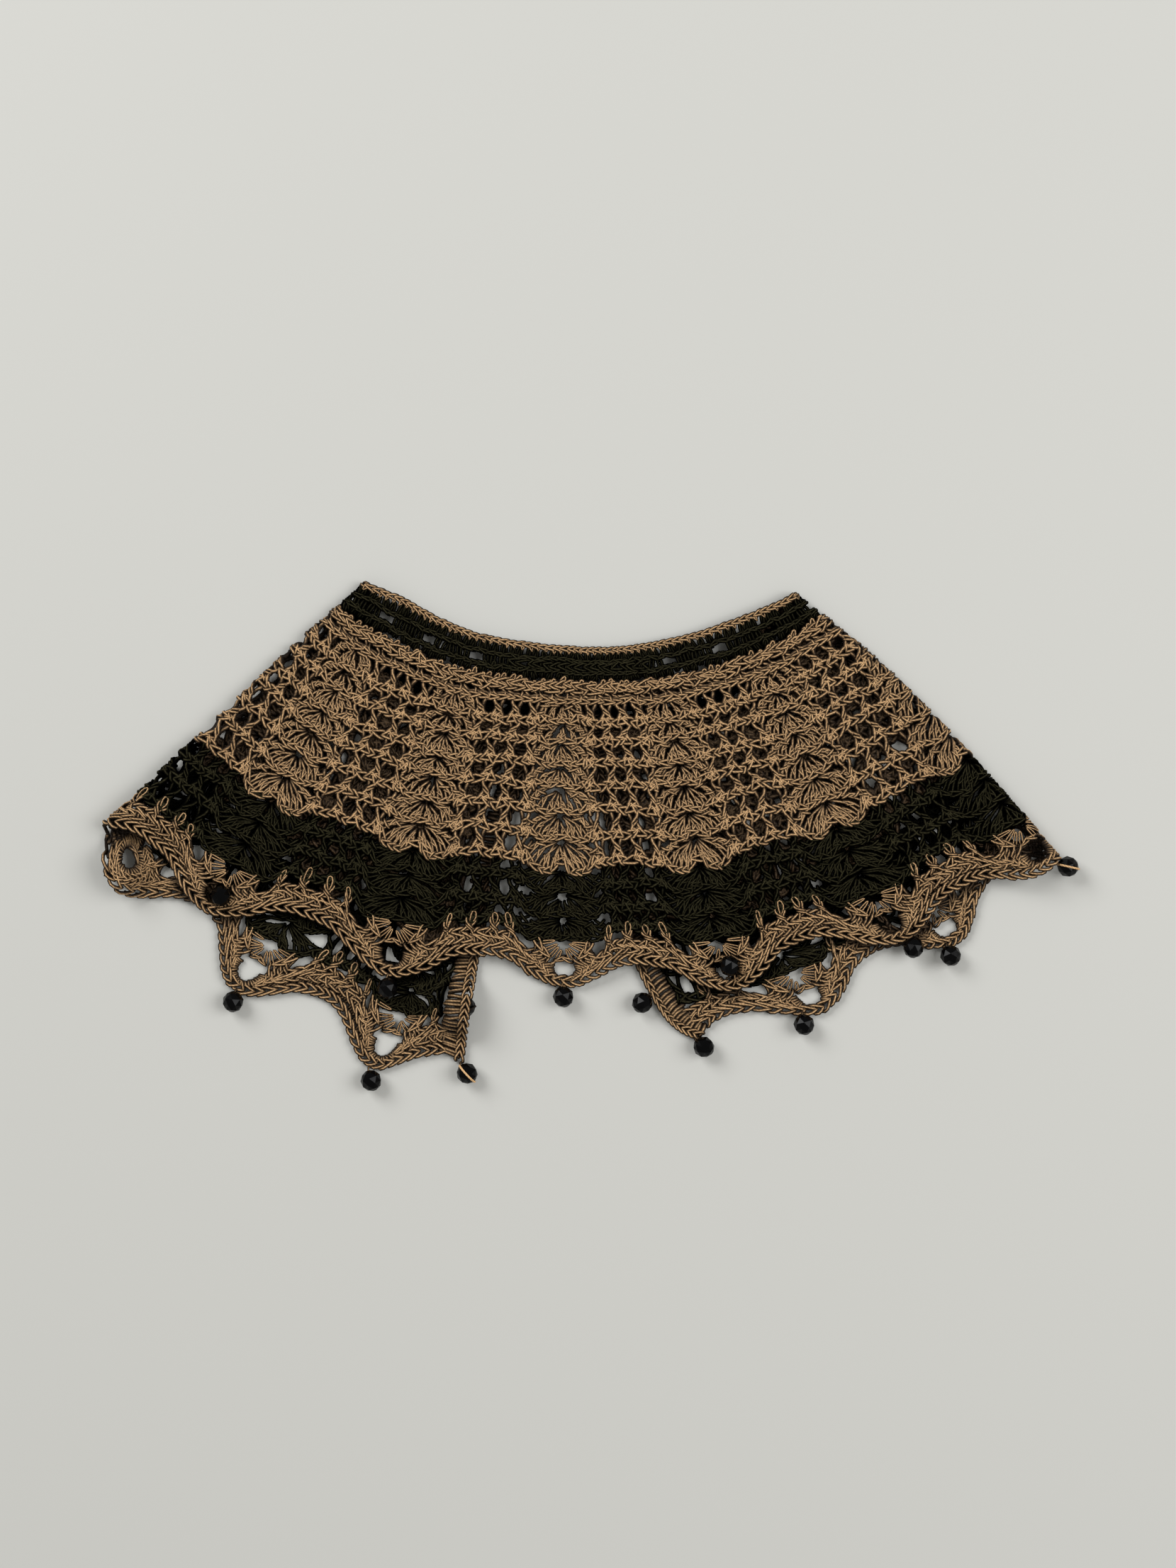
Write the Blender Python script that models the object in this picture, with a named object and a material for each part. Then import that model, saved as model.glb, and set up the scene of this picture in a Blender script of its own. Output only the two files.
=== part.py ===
"""A crocheted lace collar, folded on itself and lying flat.

The collar is one curved strip, about eleven pattern repeats long. Every piece is a wall of cloth on the
same surface, which is worked out from three short tables: SECTIONS (where each column of shells lies,
from the neck edge to the scallop tips), ROWS (how deep each row of stitches lies) and FOLDS (how the
cloth turns under at each side). u counts pattern repeats along the neck, from 0 at the middle column,
and depth is 0 at the neck edge and 1 at the scallop tips.
"""

import math

import bmesh
import bpy
import numpy as np
from mathutils import Matrix, Vector

MM = 0.001
COLLECTION = "lace_collar"

CLOTH = 2.0  # thickness of the crochet, mm
SHELL_RELIEF = 0.35  # how far shells stand up from the mesh
ROW_RELIEF = 0.3  # how far each row stands up from the groove above it
LAYER_LIFT = 2.95  # height of the front layer's underside where it lies on the turned-under layer
SAG_STARTS = 2.0  # how far outside the turned-under layer the front begins to sink to the table
SAG_ENDS = 9.0
EDGE_INSET = 0.7  # how far the rounded edge of a wall reaches in
SEAM = 0.36  # gap between neighbouring pieces, measured along the cloth
END_SEAM = 0.6  # the same, before the end borders
COLLAR_DEPTH = 134.0  # neck edge to scallop tip, along a column
WRAP = 3.0  # how far the front pieces run on under the fold, past its curve
CENTRE = (0.15, 1.15)  # moves the collar so that its box stands on the origin

SHELL_HALF_WIDTH = 0.2  # of a repeat
MESH_STARTS = 0.34  # of a repeat, measured from a shell's middle
ARCH_SHARPNESS = 1.3  # over 1 makes the scallop tips narrower than the crests between them

# Where each column of shells lies: x and y in mm at the neck edge, in the yoke, at the top of the dark
# hem band, at the top of the edging and at the scallop tip. The turned-under sections are listed from
# the fold to the end.
SECTIONS = {
    #              repeat  neck x, y      yoke x, y      hem x, y       edging x, y    tip x, y
    "left_fold":   (None,    -84.2,  96.3, -119.2,  64.7, -148.6,  36.4, -169.3,  16.9, -182.5,   5.2),
    "left_2":      (-2.0,    -75.4,  93.0, -100.3,  48.2, -119.7,  14.6, -134.4, -10.0, -145.1, -27.4),
    "left_1":      (-1.0,    -45.3,  78.4,  -57.0,  31.4,  -66.6,  -3.9,  -72.6, -31.2,  -75.7, -51.7),
    "middle":      (0.0,      -9.2,  72.5,  -11.6,  27.6,  -11.1, -11.1,  -10.2, -38.3,   -9.7, -55.4),
    "right_1":     (1.0,      21.5,  73.6,   33.2,  28.4,   41.0, -10.0,   47.8, -38.0,   53.8, -56.7),
    "right_2":     (2.0,      57.0,  83.7,   76.5,  39.9,   92.0,   4.7,  105.8, -21.1,  117.3, -38.8),
    "right_fold":  (None,     76.0,  92.2,  113.3,  61.3,  142.4,  31.1,  162.9,   7.5,  176.6,  -8.9),
    "left_3":      (-3.0,    -77.0,  74.6, -109.3,  51.1, -142.4,  22.6, -165.4,   0.3, -177.8, -12.6),
    "left_3_4":    (-3.5,    -65.0,  68.5,  -96.0,  37.5, -123.0,   3.8, -140.4, -20.6, -152.6, -33.4),
    "left_4":      (-4.0,    -53.0,  64.0,  -82.0,  23.0, -103.5, -15.0, -120.6, -39.4, -135.8, -56.8),
    "left_4_5":    (-4.5,    -40.5,  60.3,  -67.5,  17.0,  -82.7, -27.2,  -94.5, -50.5, -106.9, -69.8),
    "left_5":      (-5.0,    -27.5,  57.0,  -52.0,  12.0,  -61.8, -39.5,  -71.6, -65.8,  -82.2, -87.0),
    "left_end":    (-5.4,    -16.8,  53.6,  -37.5,  10.5,  -48.6, -37.5,  -54.4, -65.5,  -56.2, -83.2),
    "left_edge":   (-5.56,   -10.0,  52.2,  -29.5,   9.0,  -41.0, -38.4,  -45.3, -66.0,  -48.0, -84.8),
    "right_3_4":   (3.5,      55.5,  72.2,   93.7,  44.2,  125.7,  15.0,  147.2,  -7.1,  157.3, -23.2),
    "right_4":     (4.0,      44.0,  61.0,   76.5,  29.2,  107.2,  -2.8,  127.5, -25.4,  138.2, -39.2),
    "right_4_5":   (4.5,      30.5,  57.8,   58.0,  21.2,   84.1, -15.7,  102.0, -37.8,  114.2, -49.6),
    "right_5":     (5.0,      17.5,  55.6,   39.0,  13.5,   61.0, -28.6,   76.4, -50.2,   86.8, -65.3),
    "right_end":   (5.6,       1.0,  53.6,   12.8,   8.5,   19.5, -32.5,   34.8, -63.4,   47.6, -71.6),
    "right_edge":  (5.76,     -5.6,  52.4,    5.5,   6.5,   12.0, -35.5,   28.6, -68.0,   41.2, -74.6),
}
SECTION_DEPTHS = (0.0, 0.354, 0.643, 0.855, 1.0)

# How deep the arch between two scallop tips is, mm, for each stretch between whole repeats.
ARCHES = {
    #                from   to    depth
    "left_end":     (-5.56, -5.0, 2.9),
    "left_flap":    (-5.0, -3.0, 11.5),
    "front":        (-3.0, 3.0, 10.5),
    "right_flap":   (3.0, 5.0, 11.5),
    "right_end":    (5.0, 5.76, 7.6),
}

# Each fold: the repeat it falls on, and its cross-section, half an ellipse that reaches out by "reach"
# and stands twice "height" tall, at the depths of SECTION_DEPTHS, mm.
FOLDS = {
    "left":  {"repeat": (-2.27, -2.60, -2.66, -2.75, -2.80), "reach": (1.7, 2.2, 3.4, 6.0, 8.0),
              "height": (1.45, 1.7, 2.4, 3.6, 4.4)},
    "right": {"repeat": (2.60, 2.93, 3.05, 3.09, 3.12), "reach": (1.7, 2.2, 3.4, 4.3, 5.0),
              "height": (1.45, 1.8, 2.6, 3.3, 3.8)},
}

# Each row of stitches: the depth of its lower edge, and how far the mesh between two shells is drawn up
# from the line through the shells, as a share of the arch.
ROWS = {
    "rim":        (0.028, 0.00),
    "band":       (0.095, 0.00),
    "dense":      (0.135, 0.00),
    "open":       (0.166, 0.03),
    "shells_1":   (0.230, 0.07),
    "shells_2":   (0.287, 0.10),
    "shells_3":   (0.354, 0.14),
    "shells_4":   (0.418, 0.18),
    "shells_5":   (0.490, 0.23),
    "shells_6":   (0.565, 0.28),
    "shells_7":   (0.643, 0.33),
    "dark_1":     (0.714, 0.39),
    "dark_2":     (0.784, 0.45),
    "dark_3":     (0.855, 0.50),
    "eyes":       (0.930, 0.75),
    "scallops":   (1.000, 1.00),
}
ROW_DEPTHS = [0.0] + [row[0] for row in ROWS.values()]
ROW_RISES = [0.0] + [row[1] for row in ROWS.values()]

REPEAT_SAMPLES = (0.0, 0.12, 0.22, 0.34, 0.5, 0.66, 0.78, 0.88)  # where a wall has points in each repeat
FLAP_STARTS = {"left": -3.12, "right": 3.42}  # where those samples begin on the turned-under layers

# The round eyes above the scallop tips: repeat, depth, half width and half height, mm.
FRONT_EYES = (
    (-1.965, 0.930, 5.3, 5.4),  # a bead hangs in it
    (-1.0, 0.926, 4.6, 3.9),
    (0.0, 0.926, 3.9, 3.9),
    (1.02, 0.928, 4.9, 5.2),  # a bead hangs in it
    (2.0, 0.926, 3.9, 3.9),
    (3.0, 0.943, 2.7, 3.2),  # on the curve of the right fold
)
FLAP_EYES = {
    "left": ((-3.0, 0.926, 3.9, 3.9), (-4.0, 0.926, 3.9, 3.9), (-5.0, 0.926, 3.9, 3.9)),
    "right": ((4.0, 0.926, 3.9, 3.9), (5.0, 0.926, 3.9, 3.9)),
}
EYE_SIDES = 10
SPIKE_GAP = (2.5, 2.1)  # half width along the row, half height
SPIKE_GAP_PLACES = (0.305, 0.44, 0.575)  # of a repeat, between the long spike stitches
SPIKE_GAP_DROP = 0.012  # in depth, below the lower edge of the hem band
SPIKE_GAP_SIDES = 4
FLAP_SPIKE_REPEATS = {"left": (-5, -3), "right": (4, 5)}
CUT_LENGTH = 5.4  # of the tools that cut the holes, mm
NECK_SLOT = (2.7, 0.95)
NECK_SLOT_SPACING = 0.51  # of a repeat
FIRST_NECK_SLOT = -1.9
NECK_SLOT_COUNT = 9

# The larger gaps at the feet of shells: repeat, row above, drop below that row's edge, half width and
# half height, mm.
YOKE_HOLES = (
    (0.0, "shells_4", 0.004, 2.0, 2.2),
    (0.0, "shells_5", 0.004, 2.1, 2.3),
    (0.0, "shells_6", 0.006, 2.2, 2.4),
)
HEM_HOLES = (
    (0.0, "shells_7", 0.016, 2.0, 2.0),
    (0.0, "dark_1", -0.006, 3.6, 2.6),
    (0.0, "dark_2", -0.004, 3.3, 2.2),
    (-1.0, "dark_1", 0.006, 2.1, 2.1),
    (1.0, "dark_2", 0.004, 2.1, 2.1),
    (2.0, "dark_1", 0.006, 2.1, 2.1),
    (2.0, "dark_2", 0.006, 2.1, 2.1),
    (-2.0, "dark_1", 0.006, 2.1, 2.1),
    (-2.0, "dark_2", 0.006, 2.1, 2.1),
    (-0.36, "dark_1", 0.020, 2.0, 2.6),
    (-0.36, "dark_2", 0.025, 2.0, 2.4),
    (0.30, "dark_2", 0.025, 2.0, 2.4),
)
FLAP_HEM_HOLES = (
    (4.0, "dark_1", 0.062, 2.1, 2.6),
    (4.0, "dark_2", 0.045, 3.4, 2.3),
    (4.32, "dark_2", 0.004, 2.4, 2.1),
    (5.0, "dark_1", 0.064, 2.4, 2.8),
    (5.0, "dark_2", 0.046, 2.2, 2.6),
)
FLAP_EDGING_HOLES = {"left": ((-5.17, "dark_3", 0.03, 2.3, 2.6),), "right": ()}
HOLE_SIDES = 6

BEAD_RADIUS = 4.0
# Beads: x and y of the centre, and the height of what it lies on, mm.
BEADS = {
    "bead_middle":       (-10.3, -58.9, 0.0),
    "bead_left_1":       (-76.0, -55.4, 2.9),
    "bead_left_2":       (-138.5, -20.9, 2.7),
    "bead_left_3":       (-178.5, -11.6, 0.0),
    "bead_left_4":       (-134.2, -60.7, 0.0),
    "bead_left_5":       (-82.4, -90.3, 0.0),
    "bead_left_corner":  (-46.4, -87.6, 0.0),
    "bead_left_edge":    (-47.2, -62.6, 0.0),
    "bead_right_1":      (52.0, -47.1, 2.7),
    "bead_right_2":      (120.7, -40.2, 2.7),
    "bead_right_3":      (178.8, -10.0, 1.0),
    "bead_right_4":      (135.0, -43.4, 0.0),
    "bead_right_5":      (80.0, -69.3, 0.0),
    "bead_right_corner": (42.4, -77.7, 0.0),
    "bead_right_edge":   (19.3, -61.1, 0.0),
}
# Beads that the cloth lies over: the height of its underside there, how far that stays level and how far
# out it comes down, mm.
CAUGHT_BEADS = {
    "bead_left_3":    (8.6, 4.6, 15.0),
    "bead_left_edge": (8.9, 4.2, 13.0),
}

# Materials: name, colour, roughness.
TAN = ("cotton_tan", (0.45, 0.29, 0.15), 0.85)
DARK = ("cotton_dark", (0.018, 0.020, 0.010), 0.85)
BLACK_GLASS = ("black_glass", (0.004, 0.004, 0.005), 0.12)


# ---------------------------------------------------------------- the surface of the cloth
def smoothstep(low, high, x):
    f = np.clip((x - low) / (high - low), 0.0, 1.0)
    return f * f * (3.0 - 2.0 * f)


def hermite(start, end, leaving, arriving, f):
    """The cubic from start to end with the given end slopes, straight on where f passes 1."""
    curve = (start * (2 * f**3 - 3 * f**2 + 1) + leaving * (f**3 - 2 * f**2 + f)
             + end * (3 * f**2 - 2 * f**3) + arriving * (f**3 - f**2))
    return np.where(f > 1.0, end + arriving * (f - 1.0), curve)


def through_points(values, depth):
    """The smooth curve through the values at SECTION_DEPTHS, straight past the last."""
    knots, values = np.array(SECTION_DEPTHS), np.array(values)
    steps = np.diff(knots)
    chords = np.diff(values) / steps
    inner = (chords[:-1] * steps[1:] + chords[1:] * steps[:-1]) / (steps[1:] + steps[:-1])
    slopes = np.concatenate([[1.5 * chords[0] - 0.5 * inner[0]], inner, [1.5 * chords[-1] - 0.5 * inner[-1]]])
    k = np.clip(np.searchsorted(knots, depth, side="right") - 1, 0, len(steps) - 1)
    f = (depth - knots[k]) / steps[k]
    return hermite(values[k], values[k + 1], slopes[k] * steps[k], slopes[k + 1] * steps[k], f)


def section_point(name, depth):
    numbers = SECTIONS[name][1:]
    return np.stack([through_points(numbers[0::2], depth), through_points(numbers[1::2], depth)], axis=-1)


def fold_value(side, key, depth):
    return np.interp(depth, SECTION_DEPTHS, FOLDS[side][key])


def spline_across(names, u, depth):
    """The smooth curve through the sections of one row, at u."""
    knots = []
    for name in names:
        at = SECTIONS[name][0]
        if at is None:
            at = fold_value(name.split("_")[0], "repeat", depth)
        knots.append(np.broadcast_to(at, u.shape).astype(float))
    knots = np.stack(knots)
    points = np.stack([section_point(name, depth) for name in names])
    steps = np.diff(knots, axis=0)[..., None]
    chords = np.diff(points, axis=0) / steps
    inner = (chords[:-1] * steps[1:] + chords[1:] * steps[:-1]) / (steps[1:] + steps[:-1])
    slopes = np.concatenate([chords[:1] * 1.5 - inner[:1] * 0.5, inner, chords[-1:] * 1.5 - inner[-1:] * 0.5])
    rising = np.sign(knots[-1] - knots[0])
    k = np.clip(np.sum((u - knots) * rising >= 0, axis=0) - 1, 0, len(names) - 2)
    n = np.arange(u.size)
    h = steps[k, n, 0]
    f = ((u - knots[k, n]) / h)[:, None]
    h = h[:, None]
    return hermite(points[k, n], points[k + 1, n], slopes[k, n] * h, slopes[k + 1, n] * h, f)


FRONT = ["left_fold", "left_2", "left_1", "middle", "right_1", "right_2", "right_fold"]
TURNED = {
    "left": ["left_fold", "left_3", "left_3_4", "left_4", "left_4_5", "left_5", "left_end", "left_edge"],
    "right": ["right_fold", "right_3_4", "right_4", "right_4_5", "right_5", "right_end", "right_edge"],
}
ENDS = {side: SECTIONS[side + "_end"][0] for side in TURNED}  # where the rows of stitches end
EDGES = {side: SECTIONS[side + "_edge"][0] for side in TURNED}  # the outer edge of the end borders


def mesh_rise(u, depth):
    """How far a point is drawn up from the line through the shells."""
    rise = np.interp(depth, ROW_DEPTHS, ROW_RISES)
    flat_mesh = smoothstep(SHELL_HALF_WIDTH, MESH_STARTS, np.abs(u - np.round(u)))
    turn, arch_depth = u, np.zeros(u.shape)
    for start, end, arch in ARCHES.values():
        here = (u >= start) & (u <= end)
        arch_depth = np.where(here, arch, arch_depth)
        if abs(end - start) < 1:
            turn = np.where(here, (u - start) / (end - start), turn)
    scallop = 1.0 - np.abs(np.cos(np.pi * turn)) ** (2 * ARCH_SHARPNESS)
    arching = smoothstep(ROWS["dark_3"][0], 1.0, depth)
    return arch_depth * rise * (flat_mesh * (1.0 - arching) + scallop * arching)


def plan(names, u, depth):
    """x and y on a layer, with the rows scalloped."""
    base = spline_across(names, u, depth)
    down = spline_across(names, u, depth + 0.01) - base
    down /= np.linalg.norm(down, axis=1)[:, None]
    return base - down * mesh_rise(u, depth)[:, None]


ARC = np.linspace(0.0, math.pi / 2, 60)


def quarter(reach, height):
    """Arc length from the outermost point of a quarter ellipse, at each angle of ARC."""
    dx = reach[:, None] * np.sin(ARC)[None, :]
    dz = height[:, None] * np.cos(ARC)[None, :]
    speed = np.hypot(dx, dz)
    step = (speed[:, 1:] + speed[:, :-1]) / 2 * (ARC[1] - ARC[0])
    return np.concatenate([np.zeros((len(reach), 1)), np.cumsum(step, axis=1)], axis=1)


def around_fold(side, names, u, depth):
    """Slides u so that the cloth keeps its length round the fold. Gives the new u and the angle round
    the fold, from 0 at its outermost line to a quarter turn where it lies flat."""
    fold_u = fold_value(side, "repeat", depth)
    near = names[1] if names[0].startswith(side) else names[-2]
    near_u = np.full(u.shape, float(SECTIONS[near][0]))
    plain = np.linalg.norm(section_point(near, depth) - section_point(side + "_fold", depth), axis=1)
    reach, height = fold_value(side, "reach", depth), fold_value(side, "height", depth)
    lengths = quarter(reach, height)
    along = (u - fold_u) / (near_u - fold_u) * (plain + lengths[:, -1] - reach)
    index = np.sum(lengths < along[:, None], axis=1)
    low = np.clip(index - 1, 0, len(ARC) - 2)
    n = np.arange(u.size)
    span = lengths[n, low + 1] - lengths[n, low]
    angle = np.clip(ARC[low] + (along - lengths[n, low]) / span * (ARC[1] - ARC[0]), 0.0, math.pi / 2)
    inwards = reach * (1.0 - np.cos(angle)) + np.maximum(along - lengths[:, -1], 0.0)
    moved = fold_u + inwards / plain * (near_u - fold_u)
    use = (along < plain + lengths[:, -1] - reach) & (along >= 0.0)
    return np.where(use, moved, u), np.where(along < 0.0, 0.0, angle), np.maximum(along - lengths[:, -1], 0.0)


def outline_of(side):
    """The edge of a turned-under layer, seen from above."""
    end = EDGES[side]
    across, down = np.linspace(0.0, 1.0, 60), np.linspace(0.0, 1.0, 16)
    runs = []
    for depth in (0.0, 1.0):
        start = float(fold_value(side, "repeat", depth))
        runs.append(plan(TURNED[side], start + (end - start) * across, np.full(across.shape, depth)))
    edge = plan(TURNED[side], np.full(down.shape, end), down)
    fold = plan(TURNED[side], fold_value(side, "repeat", down), down)
    return np.concatenate([runs[0], edge, runs[1][::-1], fold[::-1]])


def outside_by(points, outline):
    """How far points lie outside a closed outline; 0 inside it."""
    a, b = outline, np.roll(outline, -1, axis=0)
    ab = b - a
    ap = points[:, None, :] - a[None]
    share = np.clip((ap * ab).sum(2) / np.maximum((ab * ab).sum(1), 1e-12), 0.0, 1.0)
    far = np.linalg.norm(ap - ab[None] * share[..., None], axis=2).min(1)
    x, y = points[:, 0][:, None], points[:, 1][:, None]
    crosses = (a[:, 1] > y) != (b[:, 1] > y)
    slope = ab[:, 0] / np.where(np.abs(ab[:, 1]) < 1e-9, 1e-9, ab[:, 1])
    inside = (crosses & (x < a[:, 0] + (y - a[:, 1]) * slope)).sum(1) % 2 == 1
    return np.where(inside, 0.0, far)


OUTLINES = {side: outline_of(side) for side in TURNED}


def tent(points):
    """The humps that the cloth makes over the caught beads."""
    lift = np.zeros(len(points))
    for name, (height, level, foot) in CAUGHT_BEADS.items():
        away = np.linalg.norm(points - np.array(BEADS[name][:2]), axis=1)
        lift = np.maximum(lift, height * (1.0 - smoothstep(level, foot, away)))
    return lift


def front_height(points):
    """Height of the front layer's underside: on the turned-under layer, or sagging to the table."""
    cover = np.zeros(len(points))
    for outline in OUTLINES.values():
        cover = np.maximum(cover, 1.0 - smoothstep(SAG_STARTS, SAG_ENDS, outside_by(points, outline)))
    return LAYER_LIFT * cover + tent(points)


def cloth(u, depth):
    """The middle of the cloth's thickness, mm."""
    u, depth = np.broadcast_arrays(np.asarray(u, float), np.asarray(depth, float))
    shape = u.shape
    u, depth = u.ravel(), depth.ravel()
    left, right = fold_value("left", "repeat", depth), fold_value("right", "repeat", depth)
    out = np.zeros((u.size, 3))
    middle = (left + right) / 2
    for side, fold_u in (("left", left), ("right", right)):
        turned = u < left if side == "left" else u > right
        own_half = u < middle if side == "left" else u >= middle
        for names, chosen in ((TURNED[side], turned), (FRONT, own_half & ~turned)):
            if not chosen.any():
                continue
            uu, dd = u[chosen], depth[chosen]
            moved, angle, run = around_fold(side, names, uu, dd)
            flat = plan(names, moved, dd)
            rz = fold_value(side, "height", dd)
            if names is FRONT:
                base = front_height(flat)
                settle = smoothstep(0.0, 1.0, run / (4.0 * rz + 8.0))
                top = np.maximum(2.0 * rz, base)
                z = rz + (top - rz) * np.sin(angle)
                z = np.where(run > 0, top + (base - top) * settle, z)
            else:
                z = np.maximum(rz * (1.0 - np.sin(angle)), tent(flat) * np.sin(angle) ** 2)
            out[chosen] = np.column_stack([flat, z + CLOTH / 2])
    out[:, 0] -= CENTRE[0]
    out[:, 1] -= CENTRE[1]
    return out.reshape(*shape, 3)


def frame_at(u, depth):
    """Unit vectors along the row, down the column and out of the cloth's right side."""
    step = 0.002
    along = cloth(u + step, depth) - cloth(u - step, depth)
    down = cloth(u, depth + step) - cloth(u, depth - step)
    along /= np.linalg.norm(along, axis=-1, keepdims=True)
    out = np.cross(down, along)
    out /= np.linalg.norm(out, axis=-1, keepdims=True)
    return along, np.cross(along, out), out


# ---------------------------------------------------------------- stretches along the rows
def wrap_end(side, depth):
    """The u at which a front piece ends, just under the fold."""
    fold_u = fold_value(side, "repeat", depth)
    near = TURNED[side][1]
    reach, height = fold_value(side, "reach", depth), fold_value(side, "height", depth)
    quarter_length = quarter(reach, height)[:, -1]
    plain = np.linalg.norm(section_point(near, depth) - section_point(side + "_fold", depth), axis=1)
    share = (quarter_length + WRAP) / (plain + quarter_length - reach)
    return fold_u + share * (SECTIONS[near][0] - fold_u)


def between(start, end, share):
    return start + (end - start) * share


def front_u(place, depth):
    """place runs from -4 (left seam) by -3 (left fold), -2 to 2 (columns) and 3 (right fold) to 4."""
    left, right = fold_value("left", "repeat", depth), fold_value("right", "repeat", depth)
    u = np.where(place < -3, between(wrap_end("left", depth), left, place + 4), place)
    u = np.where((place >= -3) & (place < -2), between(left, -2.0, place + 3), u)
    u = np.where((place > 2) & (place <= 3), between(2.0, right, place - 2), u)
    return np.where(place > 3, between(right, wrap_end("right", depth), place - 3), u)


def flap_u(side):
    """place runs from 0 (the seam under the fold) to 1, and then counts repeats to the end."""
    start = FLAP_STARTS[side]
    sign = math.copysign(1.0, start)

    def u_of(place, depth):
        near = between(wrap_end(side, depth) + sign * SEAM / 40.0, start, place)
        return np.where(place < 1, near, start + sign * (place - 1))

    return u_of


def border_u(side):
    def u_of(place, depth):
        start = ENDS[side] + math.copysign(END_SEAM / 45.0, ENDS[side])
        return between(start, EDGES[side], place) + 0.0 * depth

    return u_of


# ---------------------------------------------------------------- walls of cloth
def relief_at(u, depth, raised):
    if raised == "none":
        return np.zeros(u.shape)
    off = np.abs(u - np.round(u))
    shells = (1.0 - smoothstep(SHELL_HALF_WIDTH, MESH_STARTS, off)) * (depth > ROWS["open"][0])
    row = np.searchsorted(ROW_DEPTHS, depth, side="right") - 1
    row = np.clip(row, 0, len(ROW_DEPTHS) - 2)
    top, foot = np.take(ROW_DEPTHS, row), np.take(ROW_DEPTHS, row + 1)
    bulge = np.sin(np.pi * np.clip((depth - top) / (foot - top), 0.0, 1.0))
    relief = SHELL_RELIEF * shells + ROW_RELIEF * bulge
    if raised == "inner":
        return relief
    left, right = fold_value("left", "repeat", depth), fold_value("right", "repeat", depth)
    return relief * smoothstep(0.0, 0.15, u - left) * smoothstep(0.0, 0.15, right - u)


def row_samples(first_row, last_row, per_row):
    names = list(ROWS)
    depths = []
    for row in names[names.index(first_row):names.index(last_row) + 1]:
        top = ROW_DEPTHS[names.index(row)]
        depths += [between(top, ROWS[row][0], k / per_row) for k in range(per_row)]
    return depths + [ROWS[last_row][0]]


def wall(name, u_of, places, depths, look, raised="outer"):
    """A closed wall: both faces from the same grid, meeting in a rounded edge all round."""
    inset_u = EDGE_INSET / 40.0
    seam = SEAM / 2 / COLLAR_DEPTH
    depths = np.array(depths)
    top, foot = depths[0] + (seam if depths[0] > 0 else 0.0), depths[-1] - (seam if depths[-1] < 1 else 0.0)
    inset = EDGE_INSET / COLLAR_DEPTH
    depths = np.concatenate([[top, top + inset], depths[1:-1], [foot - inset, foot]])
    places = np.asarray(places, float)
    edge = inset_u * min(places[-1] - places[0], 1.0)
    places = np.concatenate([[places[0], places[0] + edge], places[1:-1], [places[-1] - edge, places[-1]]])
    place_grid, depth_grid = np.meshgrid(places, depths, indexing="ij")
    u_grid = u_of(place_grid.ravel(), depth_grid.ravel()).reshape(place_grid.shape)
    middle = cloth(u_grid, depth_grid)
    normal = frame_at(u_grid, depth_grid)[2]
    relief = relief_at(u_grid, depth_grid, raised)[..., None]
    outer = middle + normal * (CLOTH / 2 + (relief if raised == "outer" else 0.0))
    inner = middle - normal * (CLOTH / 2 + (relief if raised == "inner" else 0.0))
    inner[..., 2] = np.maximum(inner[..., 2], 0.0)
    outer[..., 2] = np.maximum(outer[..., 2], 0.0)
    rows, columns = middle.shape[:2]
    inside = np.zeros((rows, columns), bool)
    inside[1:-1, 1:-1] = True
    outer_index = np.zeros((rows, columns), int)
    outer_index[inside] = np.arange(inside.sum())
    inner_index = outer_index + inside.sum()
    ring = 2 * inside.sum() + np.arange((~inside).sum())
    outer_index[~inside] = ring
    inner_index[~inside] = ring
    points = np.concatenate([outer[inside], inner[inside], middle[~inside]]) * MM
    orders = ((0, 1, 2, 3), (3, 2, 1, 0)) if u_grid[-1, 0] > u_grid[0, 0] else ((3, 2, 1, 0), (0, 1, 2, 3))
    faces = []
    for index, order in zip((outer_index, inner_index), orders):
        corners = np.stack([index[:-1, :-1], index[:-1, 1:], index[1:, 1:], index[1:, :-1]], axis=-1)
        corners = corners.reshape(-1, 4)[:, order]
        faces.append(corners[:, [0, 1, 2]])
        faces.append(corners[:, [0, 2, 3]])
    mesh = bpy.data.meshes.new(name)
    mesh.from_pydata(points.tolist(), [], np.concatenate(faces).tolist())
    mesh.validate()
    return add_part(name, mesh, look)


def add_part(name, mesh, look):
    mesh.materials.append(material(look))
    mesh.shade_smooth()
    mesh.set_sharp_from_angle(angle=math.radians(50))
    part = bpy.data.objects.new(name, mesh)
    bpy.data.collections[COLLECTION].objects.link(part)
    return part


def material(look):
    name, colour, roughness = look
    found = bpy.data.materials.get(name)
    if found:
        return found
    made = bpy.data.materials.new(name)
    made.use_nodes = True
    shader = made.node_tree.nodes["Principled BSDF"]
    shader.inputs["Base Color"].default_value = (*colour, 1.0)
    shader.inputs["Roughness"].default_value = roughness
    shader.inputs["Metallic"].default_value = 0.0
    made.diffuse_color = (*colour, 1.0)
    return made


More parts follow.
